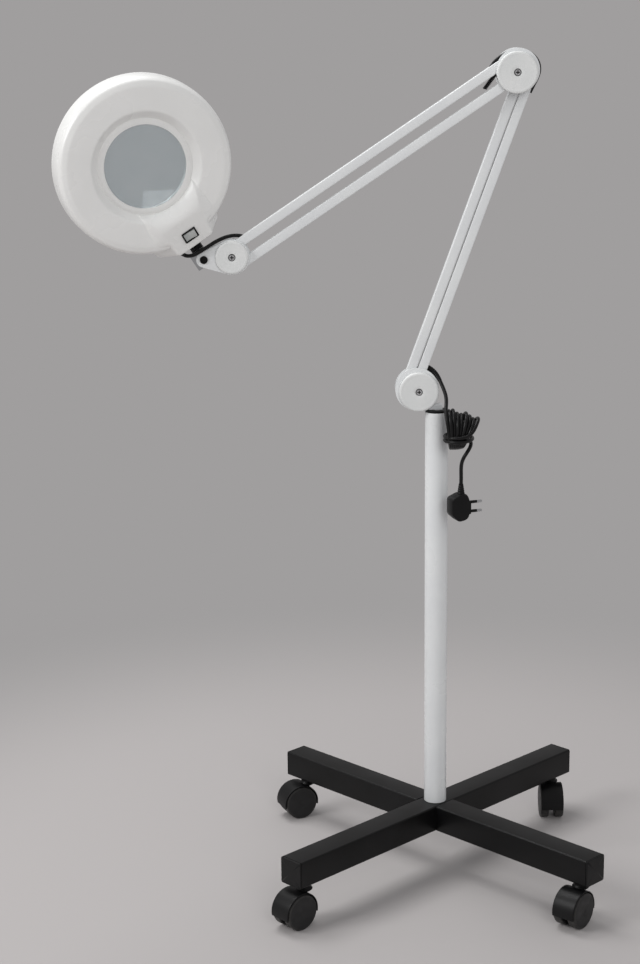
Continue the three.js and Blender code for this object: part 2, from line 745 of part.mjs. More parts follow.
/** Corner points of the neck housing, drawn in by an inset. */
function neckBlock(inset, endInset) {
  const top = NECK_TOP_WIDTH / 2 - inset;
  const base = NECK_BASE_WIDTH / 2 - inset;
  const end = -NECK_END + endInset;
  const floor = HEAD_BOTTOM + inset;
  const points = [];
  for (const side of [-1, 1]) {
    points.push(new THREE.Vector3(side * (top + 3), -NECK_START, NECK_START_HEIGHT - inset));
    points.push(new THREE.Vector3(side * top, -NECK_CREASE, NECK_CREASE_HEIGHT - inset));
    points.push(new THREE.Vector3(side * (top - 6), end + 1.5, NECK_END_HEIGHT - inset));
    points.push(new THREE.Vector3(side * base, -NECK_START, floor));
    points.push(new THREE.Vector3(side * base, end + 22, floor));
    points.push(new THREE.Vector3(side * (top - 5), end, floor));
  }
  return new ConvexGeometry(points);
}

/** Housing over the neck: closed floor and end, open towards the shell that it is fixed to. */
function neckCover(switchHole) {
  const envelope = [...skin(GAP), [0, HEAD_BOTTOM - 5], [0, HEAD_TOP + GAP]];
  envelope[4] = [HEAD_RADIUS + GAP, HEAD_BOTTOM - 5];
  envelope[0] = [0, HEAD_TOP + GAP];
  envelope.pop();
  return cut(
    neckBlock(0, 0),
    turned(envelope, 48),
    neckBlock(HEAD_WALL, HEAD_WALL + 1),
    rodZ(FERRULE_RADIUS / 2 + RUNNING, -10, 12, 18)
      .rotateX(-Math.PI / 2 - rad(HEAD_RAKE))
      .translate(0, -NECK_END, NECK_MID),
    switchHole,
  );
}

function addLens(head) {
  const facet = 4;
  const bulge = (side) =>
    Array.from({ length: facet + 1 }, (_, i) => {
      const r = (LENS_RADIUS * i) / facet;
      return [r, side * lensSurface(r)];
    });
  piece(head, 'lens', turned([...bulge(-1), ...bulge(1).reverse()], 40), GLASS);

  const low = LENS_EDGE / 2 + GAP;
  const ring = turnedRing(
    [
      [boreRadius, low + 1.2],
      [LENS_RADIUS, low],
      [seatRadius - GAP, low],
      [seatRadius - GAP, low + 1.6],
      [boreRadius, low + 2.6],
    ],
    40,
  );
  piece(head, 'lens_ring', ring, WHITE_PLASTIC);
}

/** Circular lamp around the barrel, with the moulded base that its pins sit in. */
function addLampTube(head) {
  const torus = new THREE.TorusGeometry(LAMP_RADIUS, LAMP_TUBE, 10, 36).translate(0, 0, LAMP_HEIGHT);
  const low = LAMP_HEIGHT - LAMP_TUBE;
  const high = HEAD_TOP - HEAD_WALL - GAP;
  const base = box(34, 2 * LAMP_TUBE - 3, high - low, 0, LAMP_RADIUS - 1.5, (low + high) / 2);
  piece(head, 'lamp_tube', join(torus, base), LAMP_WHITE);
}

function addSwitch(head, plateau) {
  const lift = GAP;
  const bodyLong = SWITCH_LONG - 2.6;
  const bodyShort = SWITCH_SHORT - 2.6;
  const windowLong = ROCKER_LONG + 1;
  const windowShort = ROCKER_SHORT + 1;
  const frame = cut(
    join(
      box(SWITCH_LONG, SWITCH_SHORT, SWITCH_BEZEL, 0, 0, lift + SWITCH_BEZEL / 2),
      box(bodyLong, bodyShort, SWITCH_DEPTH, 0, 0, lift + 0.5 - SWITCH_DEPTH / 2),
    ),
    box(windowLong, windowShort, SWITCH_DEPTH, 0, 0, lift + SWITCH_BEZEL + 1.5 - SWITCH_DEPTH / 2),
  );
  const at = groupAt(head, plateau.x, plateau.y, plateau.z);
  at.rotation.x = plateau.slope;
  piece(at, 'switch_frame', frame, BLACK_PLASTIC);

  const outline = new THREE.Shape();
  const endX = ROCKER_LONG / 2;
  outline.moveTo(-endX, 1.2);
  outline.lineTo(-2.4, -4.4);
  outline.lineTo(2.4, -4.4);
  outline.lineTo(endX, 1.2);
  outline.lineTo(endX - 0.4, 2.6);
  outline.quadraticCurveTo(0, 1.2, -endX + 0.4, 2.6);
  outline.closePath();
  const rocker = plateXZ(outline, -ROCKER_SHORT / 2, ROCKER_SHORT / 2, 6);
  const pivot = groupAt(at, 0, 0, lift);
  pivot.rotation.y = rad(ROCKER_REST);
  piece(pivot, 'switch_rocker', rocker, ROCKER_GREY);
}

function addHead(turning) {
  const head = groupAt(turning, 0, 0, 0);
  head.rotation.x = Math.PI / 2 + rad(HEAD_RAKE);
  const neckEnd = new THREE.Vector3(0, -NECK_END, NECK_MID).applyEuler(head.rotation);
  head.position.set(-neckEnd.x, -neckEnd.y, NECK_FROM_PIN - neckEnd.z);

  const run = NECK_END - NECK_CREASE;
  const drop = NECK_CREASE_HEIGHT - NECK_END_HEIGHT;
  const slope = Math.atan2(drop, run);
  const plateau = {
    x: 0,
    y: -SWITCH_FROM_LENS,
    z: NECK_CREASE_HEIGHT - (drop * (SWITCH_FROM_LENS - NECK_CREASE)) / run,
    slope,
  };
  const opening = (margin) =>
    box(SWITCH_LONG + margin, SWITCH_SHORT + margin, 3 * SWITCH_DEPTH)
      .rotateX(slope)
      .translate(plateau.x, plateau.y, plateau.z);
  const hole = opening(-2);

  piece(head, 'head_shell', headShell(opening(2)), WHITE_PLASTIC);
  piece(head, 'neck_cover', neckCover(hole), WHITE_PLASTIC);
  addLens(head);
  addLampTube(head);
  addSwitch(head, plateau);
}

// ---------------------------------------------------------------- cables held by the joints
// Points are from the cover of the joint that each cable passes: [x, y, z].
const ELBOW_CABLE = [
  [-31, -15.7, 18.5],
  [-24, -15.7, 26],
  [-11, -15.5, 35.6],
  [5, -14, 38.8],
  [20, -11, 34.6],
  [31, -8, 24],
  [36.4, -6, 9],
  [34, -3, -6],
  [26.5, 0, -18],
];
const HEAD_CABLE = [
  [16, -15.7, 34.5],
  [4, -17, 31],
  [-11, -21, 28],
  [-26, -27, 20],
  [-38, -31, 9.5],
  [-50, -31, 3],
  [-61, -28.5, 3],
  [-69, -25.3, 6.2],
];

function addCables(lamp) {
  const from = (centre) => ([x, y, z]) => [centre.x + x, y, centre.z + z];
  piece(lamp, 'elbow_cable', cable(ELBOW_CABLE.map(from(elbowCover)), CABLE_RADIUS, 22), CABLE_BLACK);
  piece(lamp, 'head_cable', cable(HEAD_CABLE.map(from(headCover)), CABLE_RADIUS, 18), CABLE_BLACK);
}

// ---------------------------------------------------------------- mains lead, tied up in a hank
// Points are from the shoulder's cover: [x, y, z].
const LEAD = [
  [13.2, 0, 34],
  [20, -1, 31.4],
  [28.5, -8, 24.5],
  [37.5, -17.5, 12],
  [47, -27.5, 0.5],
  [54.8, -36.9, -7],
  [56, -38, -13],
];
const TAIL = [
  [56.8, -38, -76.8],
  [57.2, -38, -92],
  [56.6, -38, -108],
  [56.8, -38, -124],
];
const HANK_CENTRE = [56, -38, -45];

function addLead(lamp) {
  const lead = groupAt(lamp, shoulderCover.x, 0, shoulderCover.z);
  piece(lead, 'cord_lead', cable(LEAD, LEAD_RADIUS, 14), CABLE_BLACK);

  const straight = (HANK_HEIGHT - HANK_WIDTH) / 2;
  const outline = new THREE.Shape();
  outline.absarc(0, straight, HANK_WIDTH / 2, 0, Math.PI, false);
  outline.absarc(0, -straight, HANK_WIDTH / 2, Math.PI, 2 * Math.PI, false);
  outline.closePath();
  const hank = plateXZ(outline, -HANK_DEPTH / 2, HANK_DEPTH / 2, 12);
  piece(lead, 'cord_hank', hank, CABLE_BLACK).position.set(...HANK_CENTRE);
  piece(lead, 'cord_tail', cable(TAIL, LEAD_RADIUS, 8), CABLE_BLACK);

  const tailEnd = TAIL[TAIL.length - 1];
  const plug = groupAt(lead, tailEnd[0], tailEnd[1], tailEnd[2] - GAP);
  plug.rotation.z = rad(20);
  const relief = turned([[0, -16], [5.5, -16], [4, 0], [0, 0]], 16);
  const body = box(PLUG_WIDTH, PLUG_DEEP, PLUG_HEIGHT, -4, 0, -15 - PLUG_HEIGHT / 2);
  piece(plug, 'plug_body', join(relief, body), BLACK_PLASTIC);

  const faceX = PLUG_WIDTH / 2 - 4 + GAP;
  const pinZ = -15 - PLUG_HEIGHT / 2;
  const pin = (side) =>
    rodZ(PIN_RADIUS, faceX + 1, faceX + 3 + PIN_LENGTH, 12)
      .rotateY(Math.PI / 2)
      .translate(0, 0, pinZ + (side * PIN_SPACING) / 2);
  const face = box(3, PLUG_DEEP - 5, PLUG_HEIGHT - 11, faceX + 1.5, 0, pinZ);
  piece(plug, 'plug_pins', join(face, pin(1), pin(-1)), STEEL);
}

// ---------------------------------------------------------------- assembly
const FREE_LEAD = ['cord_lead', 'cord_hank', 'cord_tail', 'plug_body', 'plug_pins'];

function build() {
  const part = new THREE.Group();
  part.name = 'magnifying_lamp';
  const lamp = groupAt(part, 0, 0, 0);
  addBase(lamp);
  addCasters(lamp);
  addColumn(lamp);
  addShoulder(lamp);
  addLowerArm(lamp);
  addElbow(lamp);
  addUpperArm(lamp);
  addHeadJoint(lamp);

  const stud = groupAt(lamp, tiltPin.x, upperLayer, tiltPin.z);
  stud.rotation.y = -rad(HEAD_LEAN);
  addYoke(stud);
  const turning = groupAt(stud, 0, 0, 0);
  turning.rotation.z = rad(HEAD_TURN);
  addFerrule(turning);
  addHead(turning);

  addCables(lamp);
  addLead(lamp);

  part.updateMatrixWorld(true);
  const extent = new THREE.Box3();
  part.traverse((node) => {
    if (node.isMesh && !FREE_LEAD.includes(node.name)) extent.union(new THREE.Box3().setFromObject(node, true));
  });
  const middle = extent.getCenter(new THREE.Vector3());
  lamp.position.set(-middle.x, -middle.y, -extent.min.z);
  return part;
}

export default build();
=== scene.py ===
# %% [markdown]
# A magnifying lamp on a rolling stand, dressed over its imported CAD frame.
# The frame brings every part at its real size and place, in metres, with its joints. This file adds
# what a frame lacks: rounded edges, real cables, moulded and painted finishes, light and a camera.
# Read it from the top. Each cell makes one piece or one finish and prints what it made.

import json
import math

import bpy
import numpy as np
from mathutils import Matrix, Vector


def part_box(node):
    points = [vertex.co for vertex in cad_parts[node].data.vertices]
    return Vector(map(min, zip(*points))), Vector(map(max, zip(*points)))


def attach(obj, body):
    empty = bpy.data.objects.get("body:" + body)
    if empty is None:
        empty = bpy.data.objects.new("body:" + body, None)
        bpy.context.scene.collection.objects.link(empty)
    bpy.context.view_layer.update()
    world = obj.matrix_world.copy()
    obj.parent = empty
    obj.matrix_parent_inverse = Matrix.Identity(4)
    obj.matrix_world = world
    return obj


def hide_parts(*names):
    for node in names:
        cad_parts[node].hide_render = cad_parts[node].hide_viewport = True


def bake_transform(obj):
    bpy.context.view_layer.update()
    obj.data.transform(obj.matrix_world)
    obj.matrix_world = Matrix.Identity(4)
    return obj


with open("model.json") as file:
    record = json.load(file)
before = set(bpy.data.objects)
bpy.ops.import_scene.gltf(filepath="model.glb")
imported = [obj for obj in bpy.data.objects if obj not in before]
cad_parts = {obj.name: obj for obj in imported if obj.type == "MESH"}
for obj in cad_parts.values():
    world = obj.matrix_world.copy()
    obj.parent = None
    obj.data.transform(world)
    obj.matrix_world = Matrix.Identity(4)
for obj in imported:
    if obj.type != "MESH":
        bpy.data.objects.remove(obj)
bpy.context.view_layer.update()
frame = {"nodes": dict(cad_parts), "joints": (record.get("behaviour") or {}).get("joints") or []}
MM = 0.001

# %% [markdown]
# Places. The frame's own boxes and joints say where things are, so nothing is typed in twice. A round
# piece is centred in its box, and a joint's position is a point on its pin.


# %% Places read from the frame
def middle(node):
    """The middle of a CAD node's box."""
    low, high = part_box(node)
    return (np.array(low) + np.array(high)) / 2


def size(node):
    """The three sides of a CAD node's box."""
    low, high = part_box(node)
    return np.array(high) - np.array(low)


def pin(joint):
    """A point on a joint's pin, and the pin's direction."""
    found = next(j for j in frame["joints"] if j["name"] == joint)
    return np.array(found["pos_m"], float), np.array(found["axis"], float)


def unit(vector):
    return np.asarray(vector, float) / np.linalg.norm(vector)


X, Y, Z = np.eye(3)
column = middle("column_tube")
axis_foot = np.array([column[0], column[1], 0.0])
shoulder = middle("shoulder_cover_front")
elbow = middle("elbow_cover_front")
head_joint = middle("head_joint_cover_front")
print("covers at", *[np.round(p, 4).tolist() for p in (shoulder, elbow, head_joint)])

# %% [markdown]
# The camera stands in front of the lamp, a little to the left of the column and at the height of the
# elbow, and looks down by about thirteen degrees. A long lens keeps the column nearly straight.

# %% Camera
CAMERA_FROM_COLUMN = np.array([-0.1413, -2.6018, 1.1929])
LOOK_DOWN = math.radians(13.332)
HEADING = math.radians(-0.473)
TILT = math.radians(-0.594)
LONG_SIDE = 36.0
LENS = 71.33


def make_camera():
    data = bpy.data.cameras.new("camera")
    data.sensor_fit = "AUTO"
    data.sensor_width = LONG_SIDE
    data.lens = LENS
    data.clip_start, data.clip_end = 0.05, 50
    camera = bpy.data.objects.new("camera", data)
    bpy.context.scene.collection.objects.link(camera)
    ahead = np.array([
        math.sin(HEADING) * math.cos(LOOK_DOWN),
        math.cos(HEADING) * math.cos(LOOK_DOWN),
        -math.sin(LOOK_DOWN),
    ])
    level = np.array([math.cos(HEADING), -math.sin(HEADING), 0.0])
    up = np.cross(level, ahead)
    right = math.cos(TILT) * level + math.sin(TILT) * up
    upright = -math.sin(TILT) * level + math.cos(TILT) * up
    place = axis_foot + CAMERA_FROM_COLUMN
    rows = [[*axis, at] for axis, at in zip(np.array([right, upright, -ahead]).T, place)]
    camera.matrix_world = Matrix([*rows, [0, 0, 0, 1]])
    bpy.context.scene.camera = camera
    return camera


camera = make_camera()
print("camera at", np.round(np.array(camera.matrix_world.translation), 3).tolist())

# %% [markdown]
# Every new piece starts as rings of points in one numpy array: ring after ring, and the same number of
# points in each. Four neighbours make a face, the last point of a ring joins its first, and a flat end
# is closed by a fan around its middle. Two functions of this kind, a turned profile and a section
# carried along a path, make nearly the whole lamp.


# %% From rings of points to a closed shape
def shell(rings, ends=True):
    """A closed shape through rings of points, an array (rings, points, 3). ends closes the first and the
    last ring by a fan; without it the last ring joins the first, as on a hoop. Faces look outwards: if
    the volume, the sum of corner products over the faces, is negative, every face is turned over."""
    count, around = rings.shape[:2]
    points = rings.reshape(-1, 3)
    index = np.arange(count * around).reshape(count, around)
    if ends:
        low, high = index[:-1], index[1:]
    else:
        low, high = index, np.roll(index, -1, 0)
    quads = np.stack([low, np.roll(low, -1, 1), np.roll(high, -1, 1), high], -1).reshape(-1, 4)
    fans = np.zeros((0, 3), int)
    if ends:
        points = np.vstack([points, rings[0].mean(0), rings[-1].mean(0)])
        first, last = count * around, count * around + 1
        start, stop = index[0], index[-1]
        fans = np.vstack([
            np.stack([np.roll(start, -1), start, np.full(around, first)], -1),
            np.stack([stop, np.roll(stop, -1), np.full(around, last)], -1),
        ])
    a, b, c, d = (points[quads[:, i]] for i in range(4))
    volume = (a * (np.cross(b, c) + np.cross(c, d))).sum()
    e, f, g = (points[fans[:, i]] for i in range(3))
    volume += (e * np.cross(f, g)).sum()
    if volume < 0:
        quads, fans = quads[:, ::-1], fans[:, ::-1]
    return points, quads.tolist() + fans.tolist()


def joined(shapes):
    """Several closed shapes in one mesh, their points numbered on."""
    points, faces, start = [], [], 0
    for own_points, own_faces in shapes:
        points.append(own_points)
        faces += [[start + i for i in face] for face in own_faces]
        start += len(own_points)
    return np.vstack(points), faces


SHARP = math.radians(38)


def piece(name, shapes, finish, body=None, replaces=(), reach=None, sharp=SHARP):
    """A named object with its finish. reach, one number for each point, is kept as the attribute along."""
    points, faces = joined(shapes)
    mesh = bpy.data.meshes.new(name)
    mesh.from_pydata(points.tolist(), [], faces)
    if reach is not None:
        along = mesh.attributes.new("along", "FLOAT", "POINT")
        along.data.foreach_set("value", np.asarray(reach, np.float32))
    mesh.polygons.foreach_set("use_smooth", np.ones(len(faces), bool))
    mesh.set_sharp_from_angle(angle=sharp)
    mesh.materials.append(finish)
    made = bpy.data.objects.new(name, mesh)
    bpy.context.scene.collection.objects.link(made)
    if body:
        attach(made, body)
    if replaces:
        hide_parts(*replaces)
    print(f"{name}: {len(points)} points, {len(faces)} faces")
    return made


# %% [markdown]
# A frame of three directions puts a locally drawn shape in its place. Keeping the drawing local means
# that a cover is always a profile about its own axis, wherever the lamp's arms are.


# %% Placing, rounding and turning
def placed(points, origin, x_axis, y_axis, z_axis):
    """Local points times three directions, plus the origin."""
    return np.asarray(points) @ np.array([x_axis, y_axis, z_axis]) + origin


def about(z_axis):
    """Two directions at right angles to z_axis and to each other."""
    z_axis = unit(z_axis)
    helper = X if abs(z_axis[0]) < 0.8 else Y
    x_axis = unit(np.cross(helper, z_axis))
    return x_axis, np.cross(z_axis, x_axis), z_axis


def rounded(corners, radius, steps=5):
    """An open outline whose inner corners are eased: each corner becomes a quadratic curve that starts and
    ends at most radius away from it, and never past the middle of a side."""
    corners = np.asarray(corners, float)
    out = [corners[:1]]
    t = np.linspace(0, 1, steps)[:, None]
    for before, corner, after in zip(corners[:-2], corners[1:-1], corners[2:]):
        back, on = before - corner, after - corner
        start = corner + back * min(0.5, radius / max(np.linalg.norm(back), 1e-9))
        stop = corner + on * min(0.5, radius / max(np.linalg.norm(on), 1e-9))
        out.append((1 - t) ** 2 * start + 2 * t * (1 - t) * corner + t**2 * stop)
    out.append(corners[-1:])
    return np.vstack(out)


def turned(profile, origin, axis, sides=96, closed=False):
    """A profile of (radius, height) points turned about an axis: the point of a ring at angle a is
    radius times (cos a, sin a), at its height. closed joins the profile's end to its start."""
    profile = np.asarray(profile, float)
    angle = np.linspace(0, 2 * math.pi, sides, endpoint=False)
    radius, height = profile[:, :1], profile[:, 1:]
    local = np.stack(
        [radius * np.cos(angle), radius * np.sin(angle), height + 0 * angle], -1
    )
    return shell(placed(local, origin, *about(axis)), ends=not closed)


def spread_of(profile, sides=96, closed=False):
    """The radius of each point of a turned shape, in the order that turned makes them."""
    radius = np.repeat(np.asarray(profile, float)[:, 0], sides)
    return radius if closed else np.append(radius, [0, 0])


print("a rounded corner has", len(rounded([[0, 0], [1, 0], [1, 1]], 0.2)), "points")

# %% [markdown]
# A cable is a circle carried along a smooth line. The line is a Catmull-Rom curve through the route's
# points, as in the frame, and the circle is turned from step to step without twisting: each new side
# direction is the last one with the part along the new tangent taken away.


# %% Curves and swept sections
def smooth_line(points, spacing):
    """A centripetal Catmull-Rom curve through the points, resampled at an even spacing."""
    points = np.asarray(points, float)
    padded = np.vstack([2 * points[0] - points[1], points, 2 * points[-1] - points[-2]])
    p0, p1, p2, p3 = padded[:-3], padded[1:-2], padded[2:-1], padded[3:]
    pairs = ((p0, p1), (p1, p2), (p2, p3))
    step = [np.linalg.norm(b - a, axis=1)[:, None, None] ** 0.5 for a, b in pairs]
    p0, p1, p2, p3 = (p[:, None] for p in (p0, p1, p2, p3))
    t1 = step[0]
    t2 = t1 + step[1]
    t3 = t2 + step[2]
    t = t1 + (t2 - t1) * np.linspace(0, 1, 24, endpoint=False)[None, :, None]
    a1 = (t1 - t) / t1 * p0 + t / t1 * p1
    a2 = (t2 - t) / (t2 - t1) * p1 + (t - t1) / (t2 - t1) * p2
    a3 = (t3 - t) / (t3 - t2) * p2 + (t - t2) / (t3 - t2) * p3
    b1 = (t2 - t) / t2 * a1 + t / t2 * a2
    b2 = (t3 - t) / (t3 - t1) * a2 + (t - t1) / (t3 - t1) * a3
    dense = ((t2 - t) / (t2 - t1) * b1 + (t - t1) / (t2 - t1) * b2).reshape(-1, 3)
    return even(np.vstack([dense, points[-1:]]), spacing)


def distances(line):
    """How far along a line each of its points is."""
    return np.append(0, np.cumsum(np.linalg.norm(np.diff(line, axis=0), axis=1)))


def even(line, spacing):
    """The same line with points an equal distance apart, about spacing."""
    far = distances(line)
    count = max(3, round(far[-1] / spacing) + 1)
    at = np.linspace(0, far[-1], count)
    return np.stack([np.interp(at, far, line[:, i]) for i in range(3)], -1)


def sides_along(line):
    """At each point of a line, its tangent and two directions across it that don't twist."""
    tangent = np.gradient(line, axis=0)
    tangent /= np.linalg.norm(tangent, axis=1)[:, None]
    side = about(tangent[0])[0]
    across = []
    for along in tangent:
        side = unit(side - along * (side @ along))
        across.append(side)
    across = np.array(across)
    return tangent, across, np.cross(tangent, across)


def tube(line, radius, sides=14):
    """A circle of the given radius, or of one radius for each point, carried along a line."""
    _, across, over = sides_along(line)
    angle = np.linspace(0, 2 * math.pi, sides, endpoint=False)
    radius = np.broadcast_to(radius, len(line))[:, None, None]
    circle = np.cos(angle)[None, :, None] * across[:, None] + np.sin(angle)[None, :, None] * over[:, None]
    return shell(line[:, None] + radius * circle)


def tube_reach(line, sides=14):
    """How far along the line each point of its tube is, in the order that tube makes them."""
    far = distances(line)
    return np.append(np.repeat(far, sides), [0, far[-1]])


def square_section(width, height, corner, steps=4):
    """A rounded rectangle about the origin, as (across, over) points, starting at its right side."""
    turn = np.linspace(0, math.pi / 2, steps)
    quarter = np.stack([np.cos(turn), np.sin(turn)], -1) * corner
    x, y = width / 2 - corner, height / 2 - corner
    parts = []
    for quadrant, (sx, sy) in enumerate(((1, 1), (-1, 1), (-1, -1), (1, -1))):
        a = quadrant * math.pi / 2
        spin = np.array([[math.cos(a), math.sin(a)], [-math.sin(a), math.cos(a)]])
        parts.append(quarter @ spin + [sx * x, sy * y])
    return np.vstack(parts)


def bar(section, start, stop, side, inset=0.0):
    """A section of (across, over) points carried straight from start to stop; side is the direction of
    across. With an inset its ends are drawn in over that length, as on a deburred edge."""
    along = unit(np.subtract(stop, start))
    side = unit(side - along * (side @ along))
    over = np.cross(along, side)
    length = np.linalg.norm(np.subtract(stop, start))
    half = np.abs(section).max(0)
    stations = [(0, 0), (length, 0)]
    if inset:
        stations = [(0, inset), (inset, 0), (length - inset, 0), (length, inset)]
    rings = [
        start + along * far + (section * (1 - drawn / half)) @ np.array([side, over])
        for far, drawn in stations
    ]
    return shell(np.array(rings))


print("a bar has", len(bar(square_section(1, 1, 0.1), 0 * X, Z, X)[0]), "points")

# %% [markdown]
# Finishes. Shader maths is easier to read as arithmetic, so one small class wraps an output socket: a
# sum or a product of wires adds its Math node, and make adds any other node. Noise on object
# coordinates gives each finish its grain, in metres, so it has the same scale on every piece.


# %% Wires of a material
class Wire:
    """One output socket of a material's node tree."""

    def __init__(self, tree, socket=None):
        self.tree, self.socket = tree, socket

    def make(self, kind, settings=None, sockets=None, output=0):
        """Adds a node: its settings first, then the values or wires of its sockets."""
        node = self.tree.nodes.new(kind)
        settings = dict(settings or {})
        stops = settings.pop("stops", None)
        for name, value in settings.items():
            setattr(node, name, value)
        if stops:
            marks = node.color_ramp.elements
            while len(marks) < len(stops):
                marks.new(0.5)
            for element, (place, shade) in zip(marks, stops):
                element.position, element.color = place, (shade, shade, shade, 1)
        for name, value in (sockets or {}).items():
            if isinstance(value, Wire):
                self.tree.links.new(value.socket, node.inputs[name])
            else:
                node.inputs[name].default_value = value
        return Wire(self.tree, node.outputs[output] if node.outputs else None)

    def math(self, operation, *values):
        return self.make("ShaderNodeMath", {"operation": operation}, dict(enumerate(values)))

    def __add__(self, other):
        return self.math("ADD", self, other)

    __radd__ = __add__

    def __sub__(self, other):
        return self.math("SUBTRACT", self, other)

    def __rsub__(self, other):
        return self.math("SUBTRACT", other, self)

    def __mul__(self, other):
        return self.math("MULTIPLY", self, other)

    __rmul__ = __mul__


def place_on(wire):
    """Where a point of the surface is, in metres."""
    return wire.make("ShaderNodeTexCoord", output="Object")


def noise(wire, grain, detail=3.0, stretch=(1, 1, 1)):
    """Noise from 0 to 1 whose lumps are about grain metres across, stretched by axis."""
    where = wire.make("ShaderNodeMapping", {}, {"Vector": place_on(wire), "Scale": stretch})
    return wire.make("ShaderNodeTexNoise", {}, {"Vector": where, "Scale": 1 / grain, "Detail": detail})


def ramp(wire, value, *stops):
    """A value read through (place, grey) stops."""
    return wire.make("ShaderNodeValToRGB", {"stops": stops}, {"Fac": value})


def blend_colour(wire, factor, first, second):
    """The Mix node's colour sockets are its seventh and eighth, and its colour result the third."""
    return wire.make("ShaderNodeMix", {"data_type": "RGBA"}, {0: factor, 6: first, 7: second}, output=2)


def bumped(wire, height, depth):
    """A normal from a height between 0 and 1 that stands for depth metres."""
    return wire.make("ShaderNodeBump", {}, {"Height": height, "Distance": depth, "Strength": 1.0})


def colour(red, green, blue):
    """A display colour of 0 to 255 as the linear colour that a shader takes."""
    shares = [c / 255 for c in (red, green, blue)]
    linear = [c / 12.92 if c <= 0.04045 else ((c + 0.055) / 1.055) ** 2.4 for c in shares]
    return (*linear, 1.0)


def empty_tree(owner):
    """A wire on the node tree of a material or a world, with the nodes that it starts with taken out."""
    owner.use_nodes = True
    owner.node_tree.nodes.clear()
    return Wire(owner.node_tree)


def finish(name, paint):
    """A material with one Principled shader. paint takes a wire and returns the shader's sockets."""
    material = bpy.data.materials.new(name)
    wire = empty_tree(material)
    shader = wire.make("ShaderNodeBsdfPrincipled", {}, paint(wire))
    wire.make("ShaderNodeOutputMaterial", {}, {"Surface": shader})
    print("finish:", name)
    return material


# %% [markdown]
# Paint and plastic. Powder paint on steel has an orange peel nearly two millimetres wide and a finer one
# inside it. Moulded plastic has a grain of half a millimetre to a little over one. Both vary in gloss
# from handling, which shows most in long highlights, so one function makes all these finishes.


# %% Painted and moulded finishes
def coat(light, dark, gloss, rough, peel, grain_depth, patch=0.06, index=1.5):
    """A finish of two close colours in patches, gloss going to rough in them, over a grain of size peel."""

    def paint(wire):
        handling = noise(wire, patch, 4)
        fine = noise(wire, peel, 2)
        return {
            "Base Color": blend_colour(wire, ramp(wire, handling, (0.35, 0), (0.65, 1)), light, dark),
            "Roughness": ramp(wire, handling, (0.3, gloss), (0.7, rough)),
            "Normal": bumped(wire, fine, grain_depth),
            "IOR": index,
        }

    return paint


black_paint = finish("black_powder_paint", coat(
    colour(12, 12, 13), colour(9, 9, 9), 0.34, 0.44, 0.0016, 0.00003, index=1.33))
black_plastic = finish("black_moulded_plastic", coat(
    colour(13, 13, 14), colour(9, 9, 10), 0.4, 0.52, 0.0005, 0.00002, index=1.36))
silver_paint = finish("pale_silver_paint", coat(
    colour(231, 233, 233), colour(226, 228, 229), 0.24, 0.33, 0.0018, 0.000012))
white_plastic = finish("white_moulded_plastic", coat(
    colour(240, 240, 238), colour(236, 236, 234), 0.24, 0.34, 0.0012, 0.000008))
lamp_white = finish("lamp_phosphor_white", coat(
    colour(240, 240, 236), colour(232, 233, 230), 0.16, 0.26, 0.004, 0.000004))
rocker_grey = finish("smoky_rocker", coat(
    colour(188, 191, 189), colour(172, 176, 174), 0.12, 0.22, 0.002, 0.000004, 0.008))
cable_black = finish("black_cable_sheath", coat(
    colour(14, 14, 15), colour(9, 9, 10), 0.3, 0.44, 0.0011, 0.00002, 0.03, 1.4))
seam_black = finish("dark_seam", coat(
    colour(30, 30, 31), colour(20, 20, 21), 0.5, 0.6, 0.0006, 0.00001, index=1.36))

# %% [markdown]
# Two finishes follow the shape of their piece. The covers are moulded with faint rings about their
# screw, and the casters' treads are dusty where they roll. Both read the distance to their axis, which
# these pieces keep in the attribute along. The screw's finish reads along as painted shade, nearly
# black in its cross recess and round its rim. The steel has turning marks, and the lens is clear glass
# with a little blue in it.


# %% Covers, treads, steel and glass
def along(wire):
    """The attribute along: metres from the axis on turned pieces, metres along a cable, and the painted shade
    on the screw.
    """
    return wire.make("ShaderNodeAttribute", {"attribute_name": "along"}, output="Fac")


RING_PITCH = 1.5 * MM
DUST_STARTS, DUST_FULL = 0.86, 0.99


def cover_paint(wire):
    """Rings one pitch apart, as the sine of the radius, over the moulded grain."""
    rings = wire.math("SINE", along(wire) * (2 * math.pi / RING_PITCH)) * 0.5 + 0.5
    handling = noise(wire, 0.03, 4)
    return {
        "Base Color": blend_colour(
            wire, ramp(wire, handling, (0.35, 0), (0.65, 1)),
            colour(229, 230, 229), colour(223, 225, 224)),
        "Roughness": ramp(wire, handling, (0.3, 0.3), (0.7, 0.4)),
        "Normal": bumped(wire, rings * 0.7 + noise(wire, 0.0008, 2) * 0.3, 0.00003),
    }


def tread_paint(wire):
    """Dust near the rim, where the radius is a share of 25 mm close to 1, broken up by noise."""
    rolled = ramp(wire, along(wire) * 40.0, (DUST_STARTS, 0), (DUST_FULL, 1))
    dust = rolled * ramp(wire, noise(wire, 0.006, 5), (0.35, 0.2), (0.75, 1))
    return {
        "Base Color": blend_colour(wire, dust * 0.55, colour(23, 23, 24), colour(74, 72, 69)),
        "Roughness": ramp(wire, noise(wire, 0.01, 4), (0.3, 0.42), (0.7, 0.62)),
        "Normal": bumped(wire, noise(wire, 0.0007, 3), 0.00004),
    }


def plated(light, dark, gloss):
    """Plated steel with fine turning marks."""

    def paint(wire):
        marks = noise(wire, 0.0012, 4, (1, 6, 1))
        return {
            "Base Color": blend_colour(wire, marks, light, dark),
            "Metallic": 1.0,
            "Roughness": ramp(wire, marks, (0.3, gloss), (0.7, gloss + 0.14)),
            "Normal": bumped(wire, marks, 0.00001),
        }

    return paint


